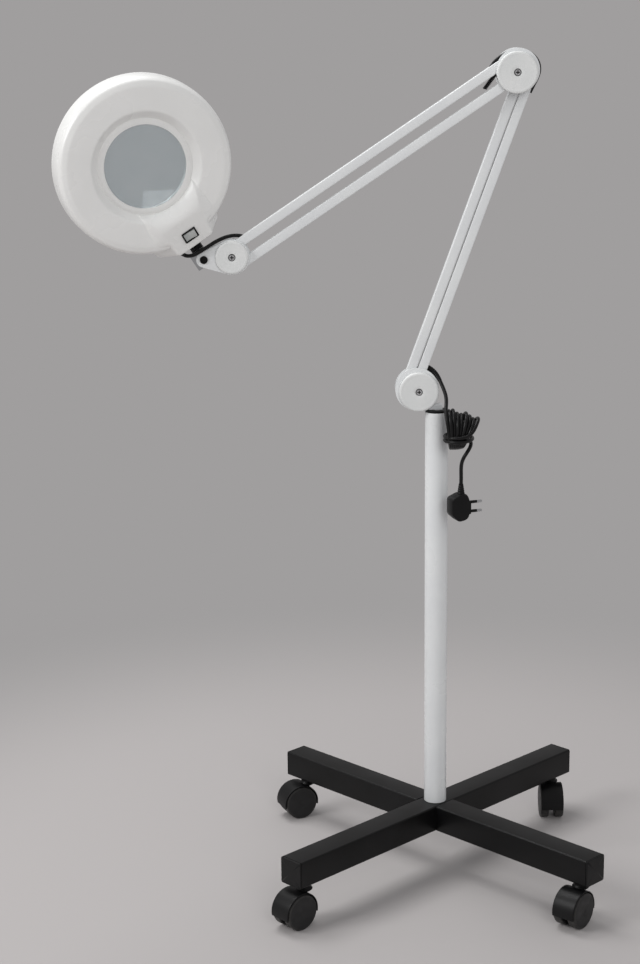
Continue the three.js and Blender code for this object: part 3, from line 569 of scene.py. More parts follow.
def screw_paint_with_painted_shade(wire):
    """Plated steel with painted shade: nearly black in its recess and round its rim, where along is 1."""
    bright = plated(colour(236, 236, 238), colour(220, 221, 223), 0.12)(wire)
    return {**bright, "Base Color": blend_colour(wire, along(wire), bright["Base Color"], colour(14, 14, 15))}


def lens_paint(wire):
    """Polished glass with a breath of haze."""
    haze = noise(wire, 0.03, 5)
    return {
        "Base Color": blend_colour(wire, haze, colour(236, 244, 247), colour(222, 233, 237)),
        "Roughness": ramp(wire, haze, (0.3, 0.04), (0.8, 0.1)),
        "Transmission Weight": 0.92,
        "IOR": 1.5,
    }


grey_cover = finish("ringed_grey_cover", cover_paint)
tread = finish("dusty_tread", tread_paint)
steel = finish("bright_plated_steel", plated(colour(214, 215, 217), colour(184, 186, 189), 0.14))
screw_steel = finish("cross_screw_steel_painted_shade", screw_paint_with_painted_shade)
glass = finish("lens_glass", lens_paint)

# %% [markdown]
# The mains lead is one length of round cable: out of the lower arm through a strain relief, round into
# a hank beside the column's top, and down to its plug. In the hank the loops stand edge-on to the front
# and lean further to the right from turn to turn, and the lead's own last turns hold them together near
# the bottom. The loops are stadium shapes, two straight runs and two round ends, so no bend is tighter
# than three diameters. The rest of the route is a list of given points in millimetres.

# %% The lead's route
LEAD_DIAMETER = 5.2 * MM
LEAD_STEP = 2 * MM
LEAD_OUT = [
    [12, 0, 32], [19.5, -1, 28], [26.5, -7, 19.5], [32.5, -16, 7], [36.5, -28, -5],
]
LEAD_TAIL = [[57, -38, -112], [56.8, -38, -124]]
HANK_CENTRE = np.array([56, -38, -45])
LOOPS = 8
LOOP_END_RADIUS = 18.2
LOOP_HEIGHT, LOOP_SHRINK, LOOP_SWAY = 54, 9.5, 2.2
LOOP_LEFT, LOOP_SPREAD = 17, 26
LEAN_POINT, LOOP_DROP = 15, 14
FIRST_LEAN, LEAN_GAIN = -7, 36
TUCK = [[14.6, -20.4, -3.6], [9.4, -21.8, -7.8], [4, -23, -9.6]]
WRAPS = 2
WRAP_WIDE, WRAP_DEEP, WRAP_PITCH = 19.5, 23.4, 5.5
WRAP_LEFT, WRAP_TOP = 3, -10.6
CLOSING_TURN, WAY_DOWN, TAIL_RIGHT = 2.6, 43, 0.8


def from_cover(cover, points):
    """Points in millimetres about a joint's cover; across the arms they count from the column's axis."""
    return np.array([cover[0], column[1], cover[2]]) + np.asarray(points, float) * MM


def stadium(turn, radius, height):
    """(depth, height) on a stadium after so many turns from its top, down the front, by arc length: half
    of an end, a straight run, an end, a run and the other half."""
    quarter, run = math.pi / 2 * radius, height - 2 * radius
    far = (turn % 1.0) * (4 * quarter + 2 * run)
    front_end, rear_start = quarter + run, 3 * quarter + run
    first, second, last = (far - mark for mark in (0, front_end, rear_start + run))
    parts = [far < quarter, far < front_end, far < rear_start, far < rear_start + run]
    depth = np.select(
        parts, [-radius * np.sin(first / radius), -radius, -radius * np.cos(second / radius), radius],
        radius * np.cos(last / radius),
    )
    rise = np.select(
        parts,
        [
            height - radius + radius * np.cos(first / radius), height - radius - (far - quarter),
            radius - radius * np.sin(second / radius), radius + (far - rear_start),
        ],
        height - radius + radius * np.sin(last / radius),
    )
    return depth, rise


def wrap_points(angle):
    """An ellipse about the loops, from the front round by the left, that sinks by its pitch in a turn."""
    return np.stack([
        -WRAP_WIDE * np.sin(angle) - WRAP_LEFT, -WRAP_DEEP * np.cos(angle),
        WRAP_TOP - WRAP_PITCH * angle / (2 * math.pi),
    ], -1)


def hank_points():
    """The loops, the wraps and the way down to the tail, in millimetres about the hank's centre. A loop
    leans more to the right with each turn, about a point near its foot, and its radius changes by turns to
    set neighbours apart. That isn't enough everywhere: where loops cross they still pass through each
    other. The way down goes on round the wraps' ellipse while that closes in on the tail and steepens."""
    turns = np.arange(0.06, LOOPS + 0.16, 1 / 28)
    share = np.clip(turns / LOOPS, 0, 1)
    radius = LOOP_END_RADIUS - 1.5 * np.cos(math.pi * turns)
    sway = LOOP_SWAY * np.sin(1.9 * (turns - 1)) * (turns > 1)
    depth, rise = stadium(turns, radius, LOOP_HEIGHT - LOOP_SHRINK * share + sway)
    lean = np.radians(FIRST_LEAN + LEAN_GAIN * share**1.25)
    reach = rise - LEAN_POINT
    across = LOOP_SPREAD * share - LOOP_LEFT + reach * np.sin(lean)
    loops = np.stack([across, depth, reach * np.cos(lean) - LOOP_DROP], -1)
    around = np.linspace(0.05, WRAPS * 2 * math.pi - 2.2, 20 * WRAPS)
    part = np.linspace(0, 1, 18)[1:]
    closing = 1 - part**2 * (3 - 2 * part)
    down = wrap_points(around[-1] + CLOSING_TURN * part)
    down[:, :2] *= closing[:, None]
    down[:, 0] += TAIL_RIGHT * (1 - closing)
    down[:, 2] -= WAY_DOWN * part**1.5
    return np.vstack([loops, TUCK, wrap_points(around), down])


def lead_line():
    """The whole route, eased by averaging each point with its neighbours where one part meets the next."""
    route = np.vstack([LEAD_OUT, hank_points() + HANK_CENTRE, LEAD_TAIL])
    line = smooth_line(from_cover(shoulder, route), LEAD_STEP)
    for _ in range(14):
        line[1:-1] = (line[:-2] + 2 * line[1:-1] + line[2:]) / 4
    return even(line, LEAD_STEP)


lead_path = lead_line()
print("lead:", round(distances(lead_path)[-1], 3), "m")

# %% [markdown]
# The lead is a mesh tube along its path, and how far along the path each point lies is kept as the
# attribute along. The strain relief is a ribbed sleeve over the lead's first centimetres.

# %% The lead and its strain relief
RELIEF_LENGTH = 26 * MM


def add_lead():
    lead = piece(
        "mains_lead", [tube(lead_path, LEAD_DIAMETER / 2)], cable_black,
        replaces=("cord_lead", "cord_hank", "cord_tail"),
        reach=tube_reach(lead_path),
    )
    sleeve = even(lead_path[distances(lead_path) <= RELIEF_LENGTH], 0.6 * MM)
    share = np.linspace(0, 1, len(sleeve))
    ribs = 0.25 * MM * np.sin(share * 9 * math.pi) ** 2
    relief = piece(
        "lead_strain_relief", [tube(sleeve, (4.3 - 1.3 * share) * MM - ribs, 20)], black_plastic,
    )
    for part in (lead, relief):
        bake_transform(part)
    return lead, relief


lead, relief = add_lead()

# %% [markdown]
# The plug is a moulded wedge with a sloping back, so its outline is drawn once and carried through its
# thickness, drawn in near both faces as a moulding is. Its two round pins wear a black sleeve over their
# first half, which keeps fingers off live metal.

# %% The plug
PLUG_TURN = math.radians(20)
PLUG_HALF = 10.5
PLUG_BACK = [(-3.5, -13), (-17.5, -19), (-17.5, -42), (-6.5, -52), (5, -50), (9.5, -44), (9.5, -21), (5, -13)]
PIN_HEIGHT = -33.5
PIN_SPACING = 13.0


def loop_of(corners, radius, steps=6):
    """A closed outline with eased corners, starting in the middle of its first side."""
    corners = np.asarray(corners, float)
    start = (corners[0] + corners[-1]) / 2
    return rounded(np.vstack([start, corners, start]), radius, steps)[:-1]


def slab(outline, low, high, ease):
    """An outline of (x, z) points carried from y = low to y = high and drawn in by ease at both faces. Each
    point moves across the outline there, inwards by the sign of the area that the outline encloses."""
    after = np.roll(outline, -1, 0)
    area = (outline[:, 0] * after[:, 1] - outline[:, 1] * after[:, 0]).sum()
    ahead = after - np.roll(outline, 1, 0)
    inwards = np.stack([-ahead[:, 1], ahead[:, 0]], -1) * np.sign(area)
    inwards /= np.maximum(np.linalg.norm(inwards, axis=1), 1e-12)[:, None]
    steps = [(0, 1), (0.3, 0.3), (1, 0)]
    stations = [(low + far * ease, drawn) for far, drawn in steps]
    stations += [(high - far * ease, drawn) for far, drawn in steps[::-1]]
    rings = []
    for y, drawn in stations:
        at = outline + inwards * ease * drawn
        rings.append(np.stack([at[:, 0], np.full(len(at), y), at[:, 1]], -1))
    return np.array(rings)


def add_plug():
    end = lead_path[-1] - Z * 0.3 * MM
    out = np.array([math.cos(PLUG_TURN), math.sin(PLUG_TURN), 0])
    across = np.cross(Z, out)

    def local(points):
        return placed(np.asarray(points) * MM, end, out, across, Z)

    body = shell(local(slab(loop_of(PLUG_BACK, 4), -PLUG_HALF, PLUG_HALF, 2.2)))
    share = np.linspace(0, 1, 60)
    ribs = 0.35 * np.sin(share * 5 * math.pi) ** 2
    neck_line = end + np.outer(share * -16 * MM, Z)
    neck = tube(neck_line, (3.3 + 2.4 * share - ribs) * MM, 24)
    raised = loop_of([(9.8, -24), (9.8, -43), (12.6, -42), (12.6, -25)], 1)
    face = shell(local(slab(raised, -7.5, 7.5, 0.6)))
    plug = piece(
        "plug", [body, neck, face], black_plastic, "shoulder", ("plug_body",))
    roots = [end + Z * (PIN_HEIGHT + side * PIN_SPACING / 2) * MM for side in (-1, 1)]
    sleeve = rounded([(0.1, 12), (2.1, 12), (2.1, 23.6), (1.9, 24), (0.1, 24)], 0.2, 3) * MM
    piece("plug_pin_sleeves", [turned(sleeve, root, out, 24) for root in roots], black_plastic, "shoulder")
    profile = rounded([(0.1, 22.8), (2.0, 22.8), (2.0, 30.6), (1.6, 31.5), (0.1, 31.7)], 0.5) * MM
    pins = [turned(profile, root, out, 24) for root in roots]
    contacts = piece("plug_contacts", pins, steel, "shoulder", ("plug_pins",))
    return plug, contacts


plug, contacts = add_plug()

# %% [markdown]
# The cross base is square steel tube with rounded corners, painted black, with a moulded cap in each
# end. One tube runs right through and two half tubes meet it.

# %% Legs and caps
TUBE_CORNER = 2.6 * MM
CAP = 2.8 * MM
END_PAST_STEM = 25 * MM
LEG_NAMES = ("rear_right", "rear_left", "front_left", "front_right")
leg_size = size("leg_cap_rear_left")[2]
leg_height = middle("leg_long")[2]
hub = np.array([column[0], column[1], leg_height])


def leg_tip(name):
    """The middle of a leg's end and the leg's direction, found from its caster's stem."""
    stem = pin(f"caster_swivel_{name}")[0]
    out = unit([stem[0] - hub[0], stem[1] - hub[1], 0])
    reach = np.hypot(stem[0] - hub[0], stem[1] - hub[1]) + END_PAST_STEM
    return hub + out * reach, out


def add_legs():
    section = square_section(leg_size, leg_size, TUBE_CORNER, 6)
    tips = {name: leg_tip(name) for name in LEG_NAMES}
    runs = (("leg_long", "front_left"), ("leg_left", "rear_left"), ("leg_right", "front_right"))
    for node, name in runs:
        stop, out = tips[name]
        start = hub + out * (leg_size / 2 + 0.2 * MM)
        if node == "leg_long":
            start = tips["rear_right"][0] + out * CAP
        shape = bar(section, start, stop - out * CAP, np.cross(Z, out))
        piece(f"{node}_tube", [shape], black_paint, "base", (node,))
    for name, (stop, out) in tips.items():
        cap = bar(section, stop - out * (CAP - 0.2 * MM), stop, np.cross(Z, out), inset=0.7 * MM)
        piece(f"end_cap_{name}", [cap], black_plastic, "base", (f"leg_cap_{name}",))


add_legs()

# %% [markdown]
# Each caster has a hood over two wheels. The hood is a section carried round the axle through a little
# more than half a turn, a plate of the same kind between the wheels, and a round neck up to the leg.

# %% Casters
HOOD_OUTER, HOOD_INNER, HOOD_HALF = 27.9, 26.0, 16.8
HOOD_SWEEP = math.radians(101)
WHEEL_HALF = 6.5 * MM
WHEEL_PROFILE = rounded([
    (3.4, 0.6), (20, 0.6), (23.5, 0), (25, 1.2), (25, 11.8), (24, 12.9), (22.4, 13), (22.1, 12.7), (21.8, 13),
    (0.1, 13), (0.1, 11.6), (3.4, 11.6), (3.4, 0.6),
], 0.7, 4)[:-1]


def sector(section, centre, axle, up, start, stop, steps):
    """A section of (radius, along the axle) points carried round the axle from angle start to stop, where
    0 is straight up."""
    side = np.cross(axle, up)
    angle = np.linspace(start, stop, steps)
    outward = np.cos(angle)[:, None] * up + np.sin(angle)[:, None] * side
    section = np.asarray(section, float)
    rings = centre + outward[:, None] * section[None, :, :1] + axle * section[None, :, 1:]
    return shell(rings)


def add_caster(name):
    stem = pin(f"caster_swivel_{name}")[0]
    centre = (middle(f"wheel_left_{name}") + middle(f"wheel_right_{name}")) / 2
    axle = unit((middle(f"wheel_left_{name}") - centre) * [1, 1, 0])
    skin = loop_of([
        (HOOD_OUTER, -HOOD_HALF), (HOOD_OUTER, HOOD_HALF), (HOOD_INNER, HOOD_HALF), (HOOD_INNER, -HOOD_HALF),
    ], 1.6, 5)
    web = [(3.0, -3.9), (3.0, 3.9), (27.0, 3.9), (27.0, -3.9)]
    neck = rounded([(3, 20), (12.5, 26), (9.2, 29.5), (9.0, 36.4), (3, 36.4)], 2, 5) * MM
    rod = rounded([(0.1, -15.4), (2.6, -15.4), (3, -14.9), (3, 14.9), (2.6, 15.4), (0.1, 15.4)], 0.3, 3) * MM
    shapes = [
        sector(skin * MM, centre, axle, Z, -HOOD_SWEEP, HOOD_SWEEP, 61),
        sector(np.array(web) * MM, centre, axle, Z, -HOOD_SWEEP, HOOD_SWEEP, 41),
        turned(neck, np.array([stem[0], stem[1], centre[2]]), Z, 40),
        turned(rod, centre, axle, 24),
    ]
    piece(f"hood_{name}", shapes, black_plastic, f"caster_{name}", (f"caster_hood_{name}",))
    for side in ("left", "right"):
        node = f"wheel_{side}_{name}"
        outward = unit((middle(node) - centre) * [1, 1, 0])
        inner = middle(node) - outward * WHEEL_HALF
        wheel = turned(WHEEL_PROFILE * MM, inner, outward, 72, closed=True)
        reach = spread_of(WHEEL_PROFILE * MM, 72, closed=True)
        piece(f"twin_{side}_{name}", [wheel], tread, node, (node,), reach)


for leg in LEG_NAMES:
    add_caster(leg)

# %% [markdown]
# The column is a plain round tube with its mouth just broken by a file, and a moulded plug in its top
# that the shoulder's stem turns in.

# %% Column and plug
column_low, column_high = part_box("column_tube")
column_top = np.array([column[0], column[1], column_high[2]])


def add_column():
    length = (column_high[2] - column_low[2]) / MM
    wall = rounded([
        (14.5, 0), (16, 0), (16, length), (14.5, length), (14.5, 0),
    ], 0.5, 4)[:-1] * MM
    foot = np.array([column[0], column[1], column_low[2]])
    piece("column_pipe", [turned(wall, foot, Z, 128, closed=True)], silver_paint, "base", ("column_tube",))
    collar = rounded([
        (6.3, -25.7), (14.2, -25.7), (14.2, 0.3), (16, 0.3), (15.6, 3.3), (6.3, 3.3), (6.3, -25.7),
    ], 0.8, 4)[:-1] * MM
    piece("column_collar", [turned(collar, column_top, Z, 96, closed=True)], black_plastic, "base",
          ("column_plug",))


add_column()

# %% [markdown]
# The joints share their parts: round plates two millimetres thick, a moulded cover on each side and a
# cross-head screw in the front one. A cover's face is very slightly dished and carries a raised lip.

# %% Covers, screws and plates
SCREW_RADIUS, SCREW_SEAT = 4.5, 3.6
BEARING = 3
DOME_HIGH, DOME_FALL = 2.4, 0.9
RECESS_DEEP, RECESS_HALF = 1.5, 2.7


def cover_profile(radius, with_screw):
    """The cover in section, from its screw hole out along the back, up the side and in over the face."""
    face = [
        (radius, 0), (radius, 3.6), (radius - 0.9, 5.4), (radius - 3, 6), (radius - 5, 5.75), (9, 5.7),
    ]
    if with_screw:
        hole = [(7.2, 5.5), (4.9, 5.2), (4.9, SCREW_SEAT), (2.3, SCREW_SEAT), (2.3, 0)]
        return rounded([(2.3, 0), *face, *hole], 0.7, 4)[:-1]
    return rounded([(0.1, 0), *face, (0.1, 5.6)], 0.7, 4)


def screw_head(origin, out):
    """A pan head with a cross recess: the height over (radius, angle) is a dome less a soft-edged cross.
    Also gives the painted shade of each point: 1, nearly black, in the recess and at the rim."""
    radius = np.append(np.linspace(0.05, 4.4, 26), [SCREW_RADIUS, SCREW_RADIUS])
    angle = np.linspace(0, 2 * math.pi, 96, endpoint=False) + 0.6
    x, y = radius[:, None] * np.cos(angle), radius[:, None] * np.sin(angle)
    dome = DOME_HIGH - DOME_FALL * (radius[:, None] / SCREW_RADIUS) ** 2 + 0 * x
    arm = np.minimum(np.maximum(abs(x), abs(y) * 4.2), np.maximum(abs(y), abs(x) * 4.2))
    recess = RECESS_DEEP * np.clip((RECESS_HALF - arm) / 0.5, 0, 1)
    height = dome - recess
    height[-1] = 0.2
    local = np.stack([x, y, height], -1) * MM
    # Painted shade: the cross recess and a ring round the rim are set nearly black in colour, standing in for
    # the shadow there.
    rim = np.clip((radius[:, None] - 3.6) / 0.5, 0, None)
    dark = np.clip(recess / 0.7 + rim, 0, 1)
    return shell(placed(local, origin, *about(out))), np.append(dark.ravel(), [1, 1])


def add_covers(joint, radius, body):
    """Front and rear cover and the screw, each on its own node's place."""
    for side, out in (("front", -Y), ("rear", Y)):
        node = f"{joint}_cover_{side}"
        back = middle(node) - out * size(node)[1] / 2
        profile = cover_profile(radius, side == "front") * MM
        shape = turned(profile, back, out, 96, closed=side == "front")
        reach = spread_of(profile, 96, closed=side == "front")
        piece(f"{joint}_dish_{side}", [shape], grey_cover, body, (node,), reach)
    node = f"{joint}_cover_front"
    seat = middle(node) + Y * size(node)[1] / 2 - Y * SCREW_SEAT * MM
    # The screw keeps its painted shade, dark in the recess and round the rim, as the attribute along.
    shape, dark = screw_head(seat, -Y)
    piece(f"{joint}_screw", [shape], screw_steel, body, (f"{joint}_cover_screw",), dark, sharp=0.5)


def round_plate(centre, radius, low, high, ease=0.5):
    """A disc square to the arms' plane, between two values of y, with broken edges."""
    thick = (high - low) / MM
    profile = rounded([(0.1, 0), (radius, 0), (radius, thick), (0.1, thick)], ease, 4) * MM
    return turned(profile, np.array([centre[0], low, centre[2]]), Y, 120)


def shafts(pivots, base, into, length):
    """A plate's round bearing pins, from y = base, of one length in millimetres."""
    profile = rounded([(0.1, 0), (BEARING, 0), (BEARING, length), (0.1, length)], 0.3, 3) * MM
    return [turned(profile, np.array([p[0], base, p[2]]), into, 24) for p in pivots]


for joint, radius in (("shoulder", 27.5), ("elbow", 27.5), ("head_joint", 22.5)):
    add_covers(joint, radius, joint)

# %% [markdown]
# At the shoulder two plates hold the lower arm. The rear one is bent into a foot that stands on the
# column's plug, and the front one carries the pins.

# %% Shoulder
PLATE = 2 * MM
PLATE_RADIUS = 30


def add_shoulder():
    front_low, front_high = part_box("shoulder_pin_plate")
    front_y = front_low[1]
    rear_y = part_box("shoulder_bracket")[1][1]
    centre = np.array([(front_low[0] + front_high[0]) / 2, 0, (front_low[2] + front_high[2]) / 2])
    rear_plate = round_plate(centre, PLATE_RADIUS, rear_y - PLATE, rear_y)
    foot_z = column_top[2] + 3.6 * MM
    foot_start = np.array([column[0] - 3 * MM, front_y + 2.3 * MM, foot_z + 3.6 * MM])
    foot_stop = foot_start * [1, 0, 1] + Y * rear_y
    foot = bar(square_section(22 * MM, 7.2 * MM, 1.2 * MM, 5), foot_start, foot_stop, X, inset=0.5 * MM)
    stem = turned(
        rounded([(0.1, -20), (6, -20), (6, 4.4), (0.1, 4.4)], 0.6, 4) * MM, column_top, Z, 48)
    piece("shoulder_frame", [rear_plate, foot, stem], silver_paint, "shoulder", ("shoulder_bracket",))
    front_plate = round_plate(centre, PLATE_RADIUS, front_y, front_y + PLATE)
    pivots = [pin("lower_arm_lift")[0], pin("lower_link_follow")[0]]
    pins = shafts(pivots, front_y + PLATE / 2, Y, 15.4)
    piece("shoulder_front_plate", [front_plate, *pins], silver_paint, "shoulder", ("shoulder_pin_plate",))


add_shoulder()

# %% [markdown]
# Each arm is two square tubes side by side, pivoted at both ends, so that the elbow and the head keep
# their tilt while the arm swings. The tubes are drawn over rollers, which leaves soft corners.

# %% Arms
ARM_CORNER = 1.5 * MM
ARM_TAIL = 7 * MM
arm_tube = 12.7 * MM


def add_tube(name, node, body, near, far):
    """One tube from pivot to pivot and a little past both, with a dark plug set in each mouth."""
    level = middle(node)[1]
    near, far = near * [1, 0, 1] + Y * level, far * [1, 0, 1] + Y * level
    out = unit(far - near)
    section = square_section(arm_tube, arm_tube, ARM_CORNER, 6)
    start, stop = near - out * ARM_TAIL, far + out * ARM_TAIL
    piece(name, [bar(section, start, stop, Y, inset=0.4 * MM)], silver_paint, body, (node,))
    mouth = square_section(arm_tube - 3 * MM, arm_tube - 3 * MM, 1 * MM, 4)
    plugs = [
        bar(mouth, start - out * 0.25 * MM, start + out * 3 * MM, Y, inset=0.2 * MM),
        bar(mouth, stop - out * 3 * MM, stop + out * 0.25 * MM, Y, inset=0.2 * MM),
    ]
    piece(f"{name}_plugs", plugs, black_plastic, body)


shoulder_right, elbow_right = pin("lower_arm_lift")[0], pin("elbow_level")[0]
shoulder_left = pin("lower_link_follow")[0]
elbow_left = shoulder_left + elbow_right - shoulder_right
elbow_top, head_top = pin("upper_arm_lift")[0], pin("head_level")[0]
elbow_bottom = pin("upper_link_follow")[0]
head_bottom = elbow_bottom + head_top - elbow_top

add_tube("lower_arm_right", "lower_tube_right", "lower_arm", shoulder_right, elbow_right)
add_tube("lower_arm_left", "lower_tube_left", "lower_link", shoulder_left, elbow_left)
add_tube("upper_arm_top", "upper_tube_top", "upper_arm", elbow_top, head_top)
add_tube("upper_arm_bottom", "upper_tube_bottom", "upper_link", elbow_bottom, head_bottom)

# %% [markdown]
# The elbow has three plates: one between the two arms' layers and one outside each. A bent rim joins
# them on the right, and the cable passes outside it, between the plates.

# %% Elbow
ELBOW_PLATE_RADIUS = 28.9
ELBOW_SHIFT = np.array([-1.6, 0, -1.9]) * MM
RIM_OUTER, RIM_INNER = 26.2, 24.2
RIM_START, RIM_STOP = math.radians(50), math.radians(105)


def add_elbow():
    centre = middle("elbow_pin_plate_rear")
    front_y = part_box("elbow_pin_plate_front")[0][1]
    rear_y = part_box("elbow_pin_plate_rear")[1][1]
    middle_high = rear_y - PLATE - (arm_tube + 1 * MM)
    middle_low = middle_high - PLATE
    deep = (rear_y - front_y) / MM - 4.6
    corners = [(RIM_OUTER, 0.4), (RIM_OUTER, deep), (RIM_INNER, deep), (RIM_INNER, 0.4)]
    start = np.array([centre[0], front_y + PLATE, centre[2]])
    wall = sector(loop_of(corners, 0.6, 4) * MM, start, Y, Z, RIM_START, RIM_STOP, 30)
    shown = centre + ELBOW_SHIFT
    plate = round_plate(shown, ELBOW_PLATE_RADIUS, middle_low, middle_high)
    piece("elbow_frame", [plate, wall], silver_paint, "elbow", ("elbow_bracket",))
    for side, low, pivots, into in (
        ("rear", rear_y - PLATE, [elbow_right, elbow_left], -Y),
        ("front", front_y, [elbow_top, elbow_bottom], Y),
    ):
        pins = shafts(pivots, low + PLATE / 2, into, 15.6)
        piece(f"elbow_plate_{side}", [round_plate(shown, ELBOW_PLATE_RADIUS, low, low + PLATE), *pins],
              silver_paint, "elbow", (f"elbow_pin_plate_{side}",))


add_elbow()

# %% [markdown]
# A short black spring rod reaches from the elbow to the sprung tube below. It is a wire wound on a rod:
# the wire's line is a circle carried along the rod while it turns.


# %% Spring rod at the elbow
SPRING_TURNS, SPRING_RADIUS, SPRING_WIRE, ROD_RADIUS = 15, 2.3 * MM, 0.75 * MM, 1.2 * MM


def add_spring_rod():
    start, stop = from_cover(elbow, [[-25, -14, 2], [-42.5, -14, -21.5]])
    share = np.linspace(0, 1, 420)[:, None]
    _, side, over = sides_along(np.array([start, (start + stop) / 2, stop]))
    turn = share * 2 * math.pi * SPRING_TURNS
    circle = SPRING_RADIUS * (np.cos(turn) * side[0] + np.sin(turn) * over[0])
    wire = start + share * (stop - start) + circle
    rod = even(np.array([start, stop]), 4 * MM)
    spring = piece("elbow_spring_rod", [tube(wire, SPRING_WIRE, 6), tube(rod, ROD_RADIUS, 10)], seam_black)
    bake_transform(spring)


add_spring_rod()

# %% [markdown]
# The inner cable shows twice. At the elbow it comes out of the upper arm, goes round the rim behind the
# front plate and back into the lower arm. At the head it leaves the upper arm and goes under the neck.
# Each stretch crosses two joints and is cut in two.

# %% Cables over the joints
CABLE_RADIUS = 2.6 * MM
CABLE_STEP = 1.5 * MM
ELBOW_CABLE = [
    [-38, -15.7, 1.5], [-32.5, -15.7, 9.5], [-27.5, -15.7, 15.5], [-16, -15.7, 23.6],
    [-5.5, -15.5, 27.4], [5.3, -14.5, 28.2], [14.3, -13, 25.6], [22.4, -11, 20.6], [28.5, -8.5, 12.6],
    [30.6, -6, 2.8], [28.4, -3, -7.4], [24, 0, -17], [19, 0, -27],
]
HEAD_CABLE = [
    [24.5, -15.7, 22.5], [18, -15.7, 26], [10.5, -15.7, 28], [2, -17, 28.4], [-8, -21, 26.8],
    [-21, -26, 21.5], [-33, -30, 14.5], [-43, -31, 8.5], [-52, -31, 4], [-61, -28.5, 3],
    [-69, -25.3, 6.2],
]


def add_cable_half(name, line, replaces=()):
    """Half of a stretch, a round tube along its line."""
    cable = piece(name, [tube(line, CABLE_RADIUS, 16)], cable_black, replaces=replaces,
                  reach=tube_reach(line, 16))
    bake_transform(cable)


def nearest(line, point):
    return int(np.linalg.norm(line - point, axis=1).argmin())


def add_cables():
    over = smooth_line(from_cover(elbow, ELBOW_CABLE), CABLE_STEP)
    top = nearest(over, from_cover(elbow, [5.3, -14.5, 28.2]))
    add_cable_half(
        "elbow_cable_top", over[: top + 2], ("elbow_cable",))
    add_cable_half("elbow_cable_back", over[top:])
    down = smooth_line(from_cover(head_joint, HEAD_CABLE), CABLE_STEP)
    split = nearest(down, from_cover(head_joint, [-14, -23.5, 24.8]))
    add_cable_half(
        "head_cable_top", down[: split + 2], ("head_cable",))
    add_cable_half("head_cable_end", down[split:])


add_cables()

# %% [markdown]
# The head joint's plates are teardrops: a large circle round the cover and a small one round the tilt
# bolt, joined by their common tangents.

# %% Head joint
TILT_EAR = 10.5
HEAD_PLATE = 24.0


def teardrop(big_centre, small_centre, steps=60):
    """Points about both circles, where the tangent from one to the other leaves each."""
    span = big_centre - small_centre
    distance, towards = np.hypot(*span), math.atan2(span[1], span[0])
    flare = math.pi / 2 + math.asin((HEAD_PLATE - TILT_EAR) * MM / distance)
    big = towards + np.linspace(-flare, flare, steps)
    small = towards + np.linspace(flare, 2 * math.pi - flare, steps // 2)
    return np.vstack([
        big_centre + HEAD_PLATE * MM * np.stack([np.cos(big), np.sin(big)], -1),
        small_centre + TILT_EAR * MM * np.stack([np.cos(small), np.sin(small)], -1),
    ])


def add_head_joint():
    bolt = pin("head_tilt")[0]
    outline = teardrop(head_joint[[0, 2]], bolt[[0, 2]])
    front_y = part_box("head_pin_plate")[0][1]
    rear_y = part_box("head_bracket")[1][1]
    rear = shell(slab(outline, rear_y - PLATE, rear_y, 0.5 * MM))
    front = shell(slab(outline, front_y, front_y + PLATE, 0.5 * MM))
    web_start = np.array([head_joint[0] - 20.5 * MM, front_y + 2.4 * MM, head_joint[2] + 0.5 * MM])
    web_stop = web_start * [1, 0, 1] + Y * (rear_y - 1 * MM)
    web = bar(square_section(4 * MM, 18 * MM, 0.8 * MM, 4), web_start, web_stop, X)
    piece("head_joint_frame", [rear, web], silver_paint, "head_joint", ("head_bracket",))
    pins = shafts([head_top, head_bottom], front_y + PLATE / 2, Y, 15.6)
    piece("head_joint_front_plate", [front, *pins], silver_paint, "head_joint", ("head_pin_plate",))
    low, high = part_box("tilt_bolt")
    length = (high[1] - low[1]) / MM
    profile = rounded([
        (0.1, 0.9), (2.6, 0.9), (3.0, 0), (4.9, 0), (5.4, 0.7), (5.4, 2), (3.4, 2), (3.4, length - 2),
        (5.3, length - 2), (5.3, length - 0.4), (4.8, length), (0.1, length),
    ], 0.4, 4) * MM
    piece("tilt_bolt_black", [turned(profile, np.array([bolt[0], low[1], bolt[2]]), Y, 48)], black_paint,
          "head_joint", ("tilt_bolt",))


add_head_joint()

# %% [markdown]
# The head turns on a stud in a black collar with three grooves. The channel under it, which tilts on
# the bolt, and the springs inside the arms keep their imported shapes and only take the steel.

# %% Collar and channel
stud_at, stud = pin("head_swivel")
tilt_at = pin("head_tilt")[0]
stud = stud * np.sign(stud[2])


GROOVE_BASES = (17.4, 19.6, 21.8)
GROOVE = ((8.4, 0), (8.4, 0.8), (9, 1.2), (9, 1.8))


def add_collar():
    origin = np.array([tilt_at[0], middle("head_yoke")[1], tilt_at[2]])
    grooves = [(radius, base + up) for base in GROOVE_BASES for radius, up in GROOVE]
    profile = rounded([
        (0.1, 8.6), (4, 8.6), (4, 12.4), (3, 12.6), (3, 15.4), (9, 15.4), (9, 17), *grooves,
        (8.8, 25.2), (4.5, 25.2), (4.5, 33), (0.1, 33),
    ], 0.3, 3) * MM
    piece("neck_collar", [turned(profile, origin, stud, 64)], black_plastic, "head", ("neck_ferrule",))


add_collar()
for packed in ("head_yoke", "lower_spring", "upper_spring"):
    frame["nodes"][packed].data.materials.clear()
    frame["nodes"][packed].data.materials.append(steel)

# %% [markdown]
# The head is drawn about the middle of its lens. The lens is symmetrical, so its box's middle is its
# own, and the direction in which its points spread least is the way it faces.

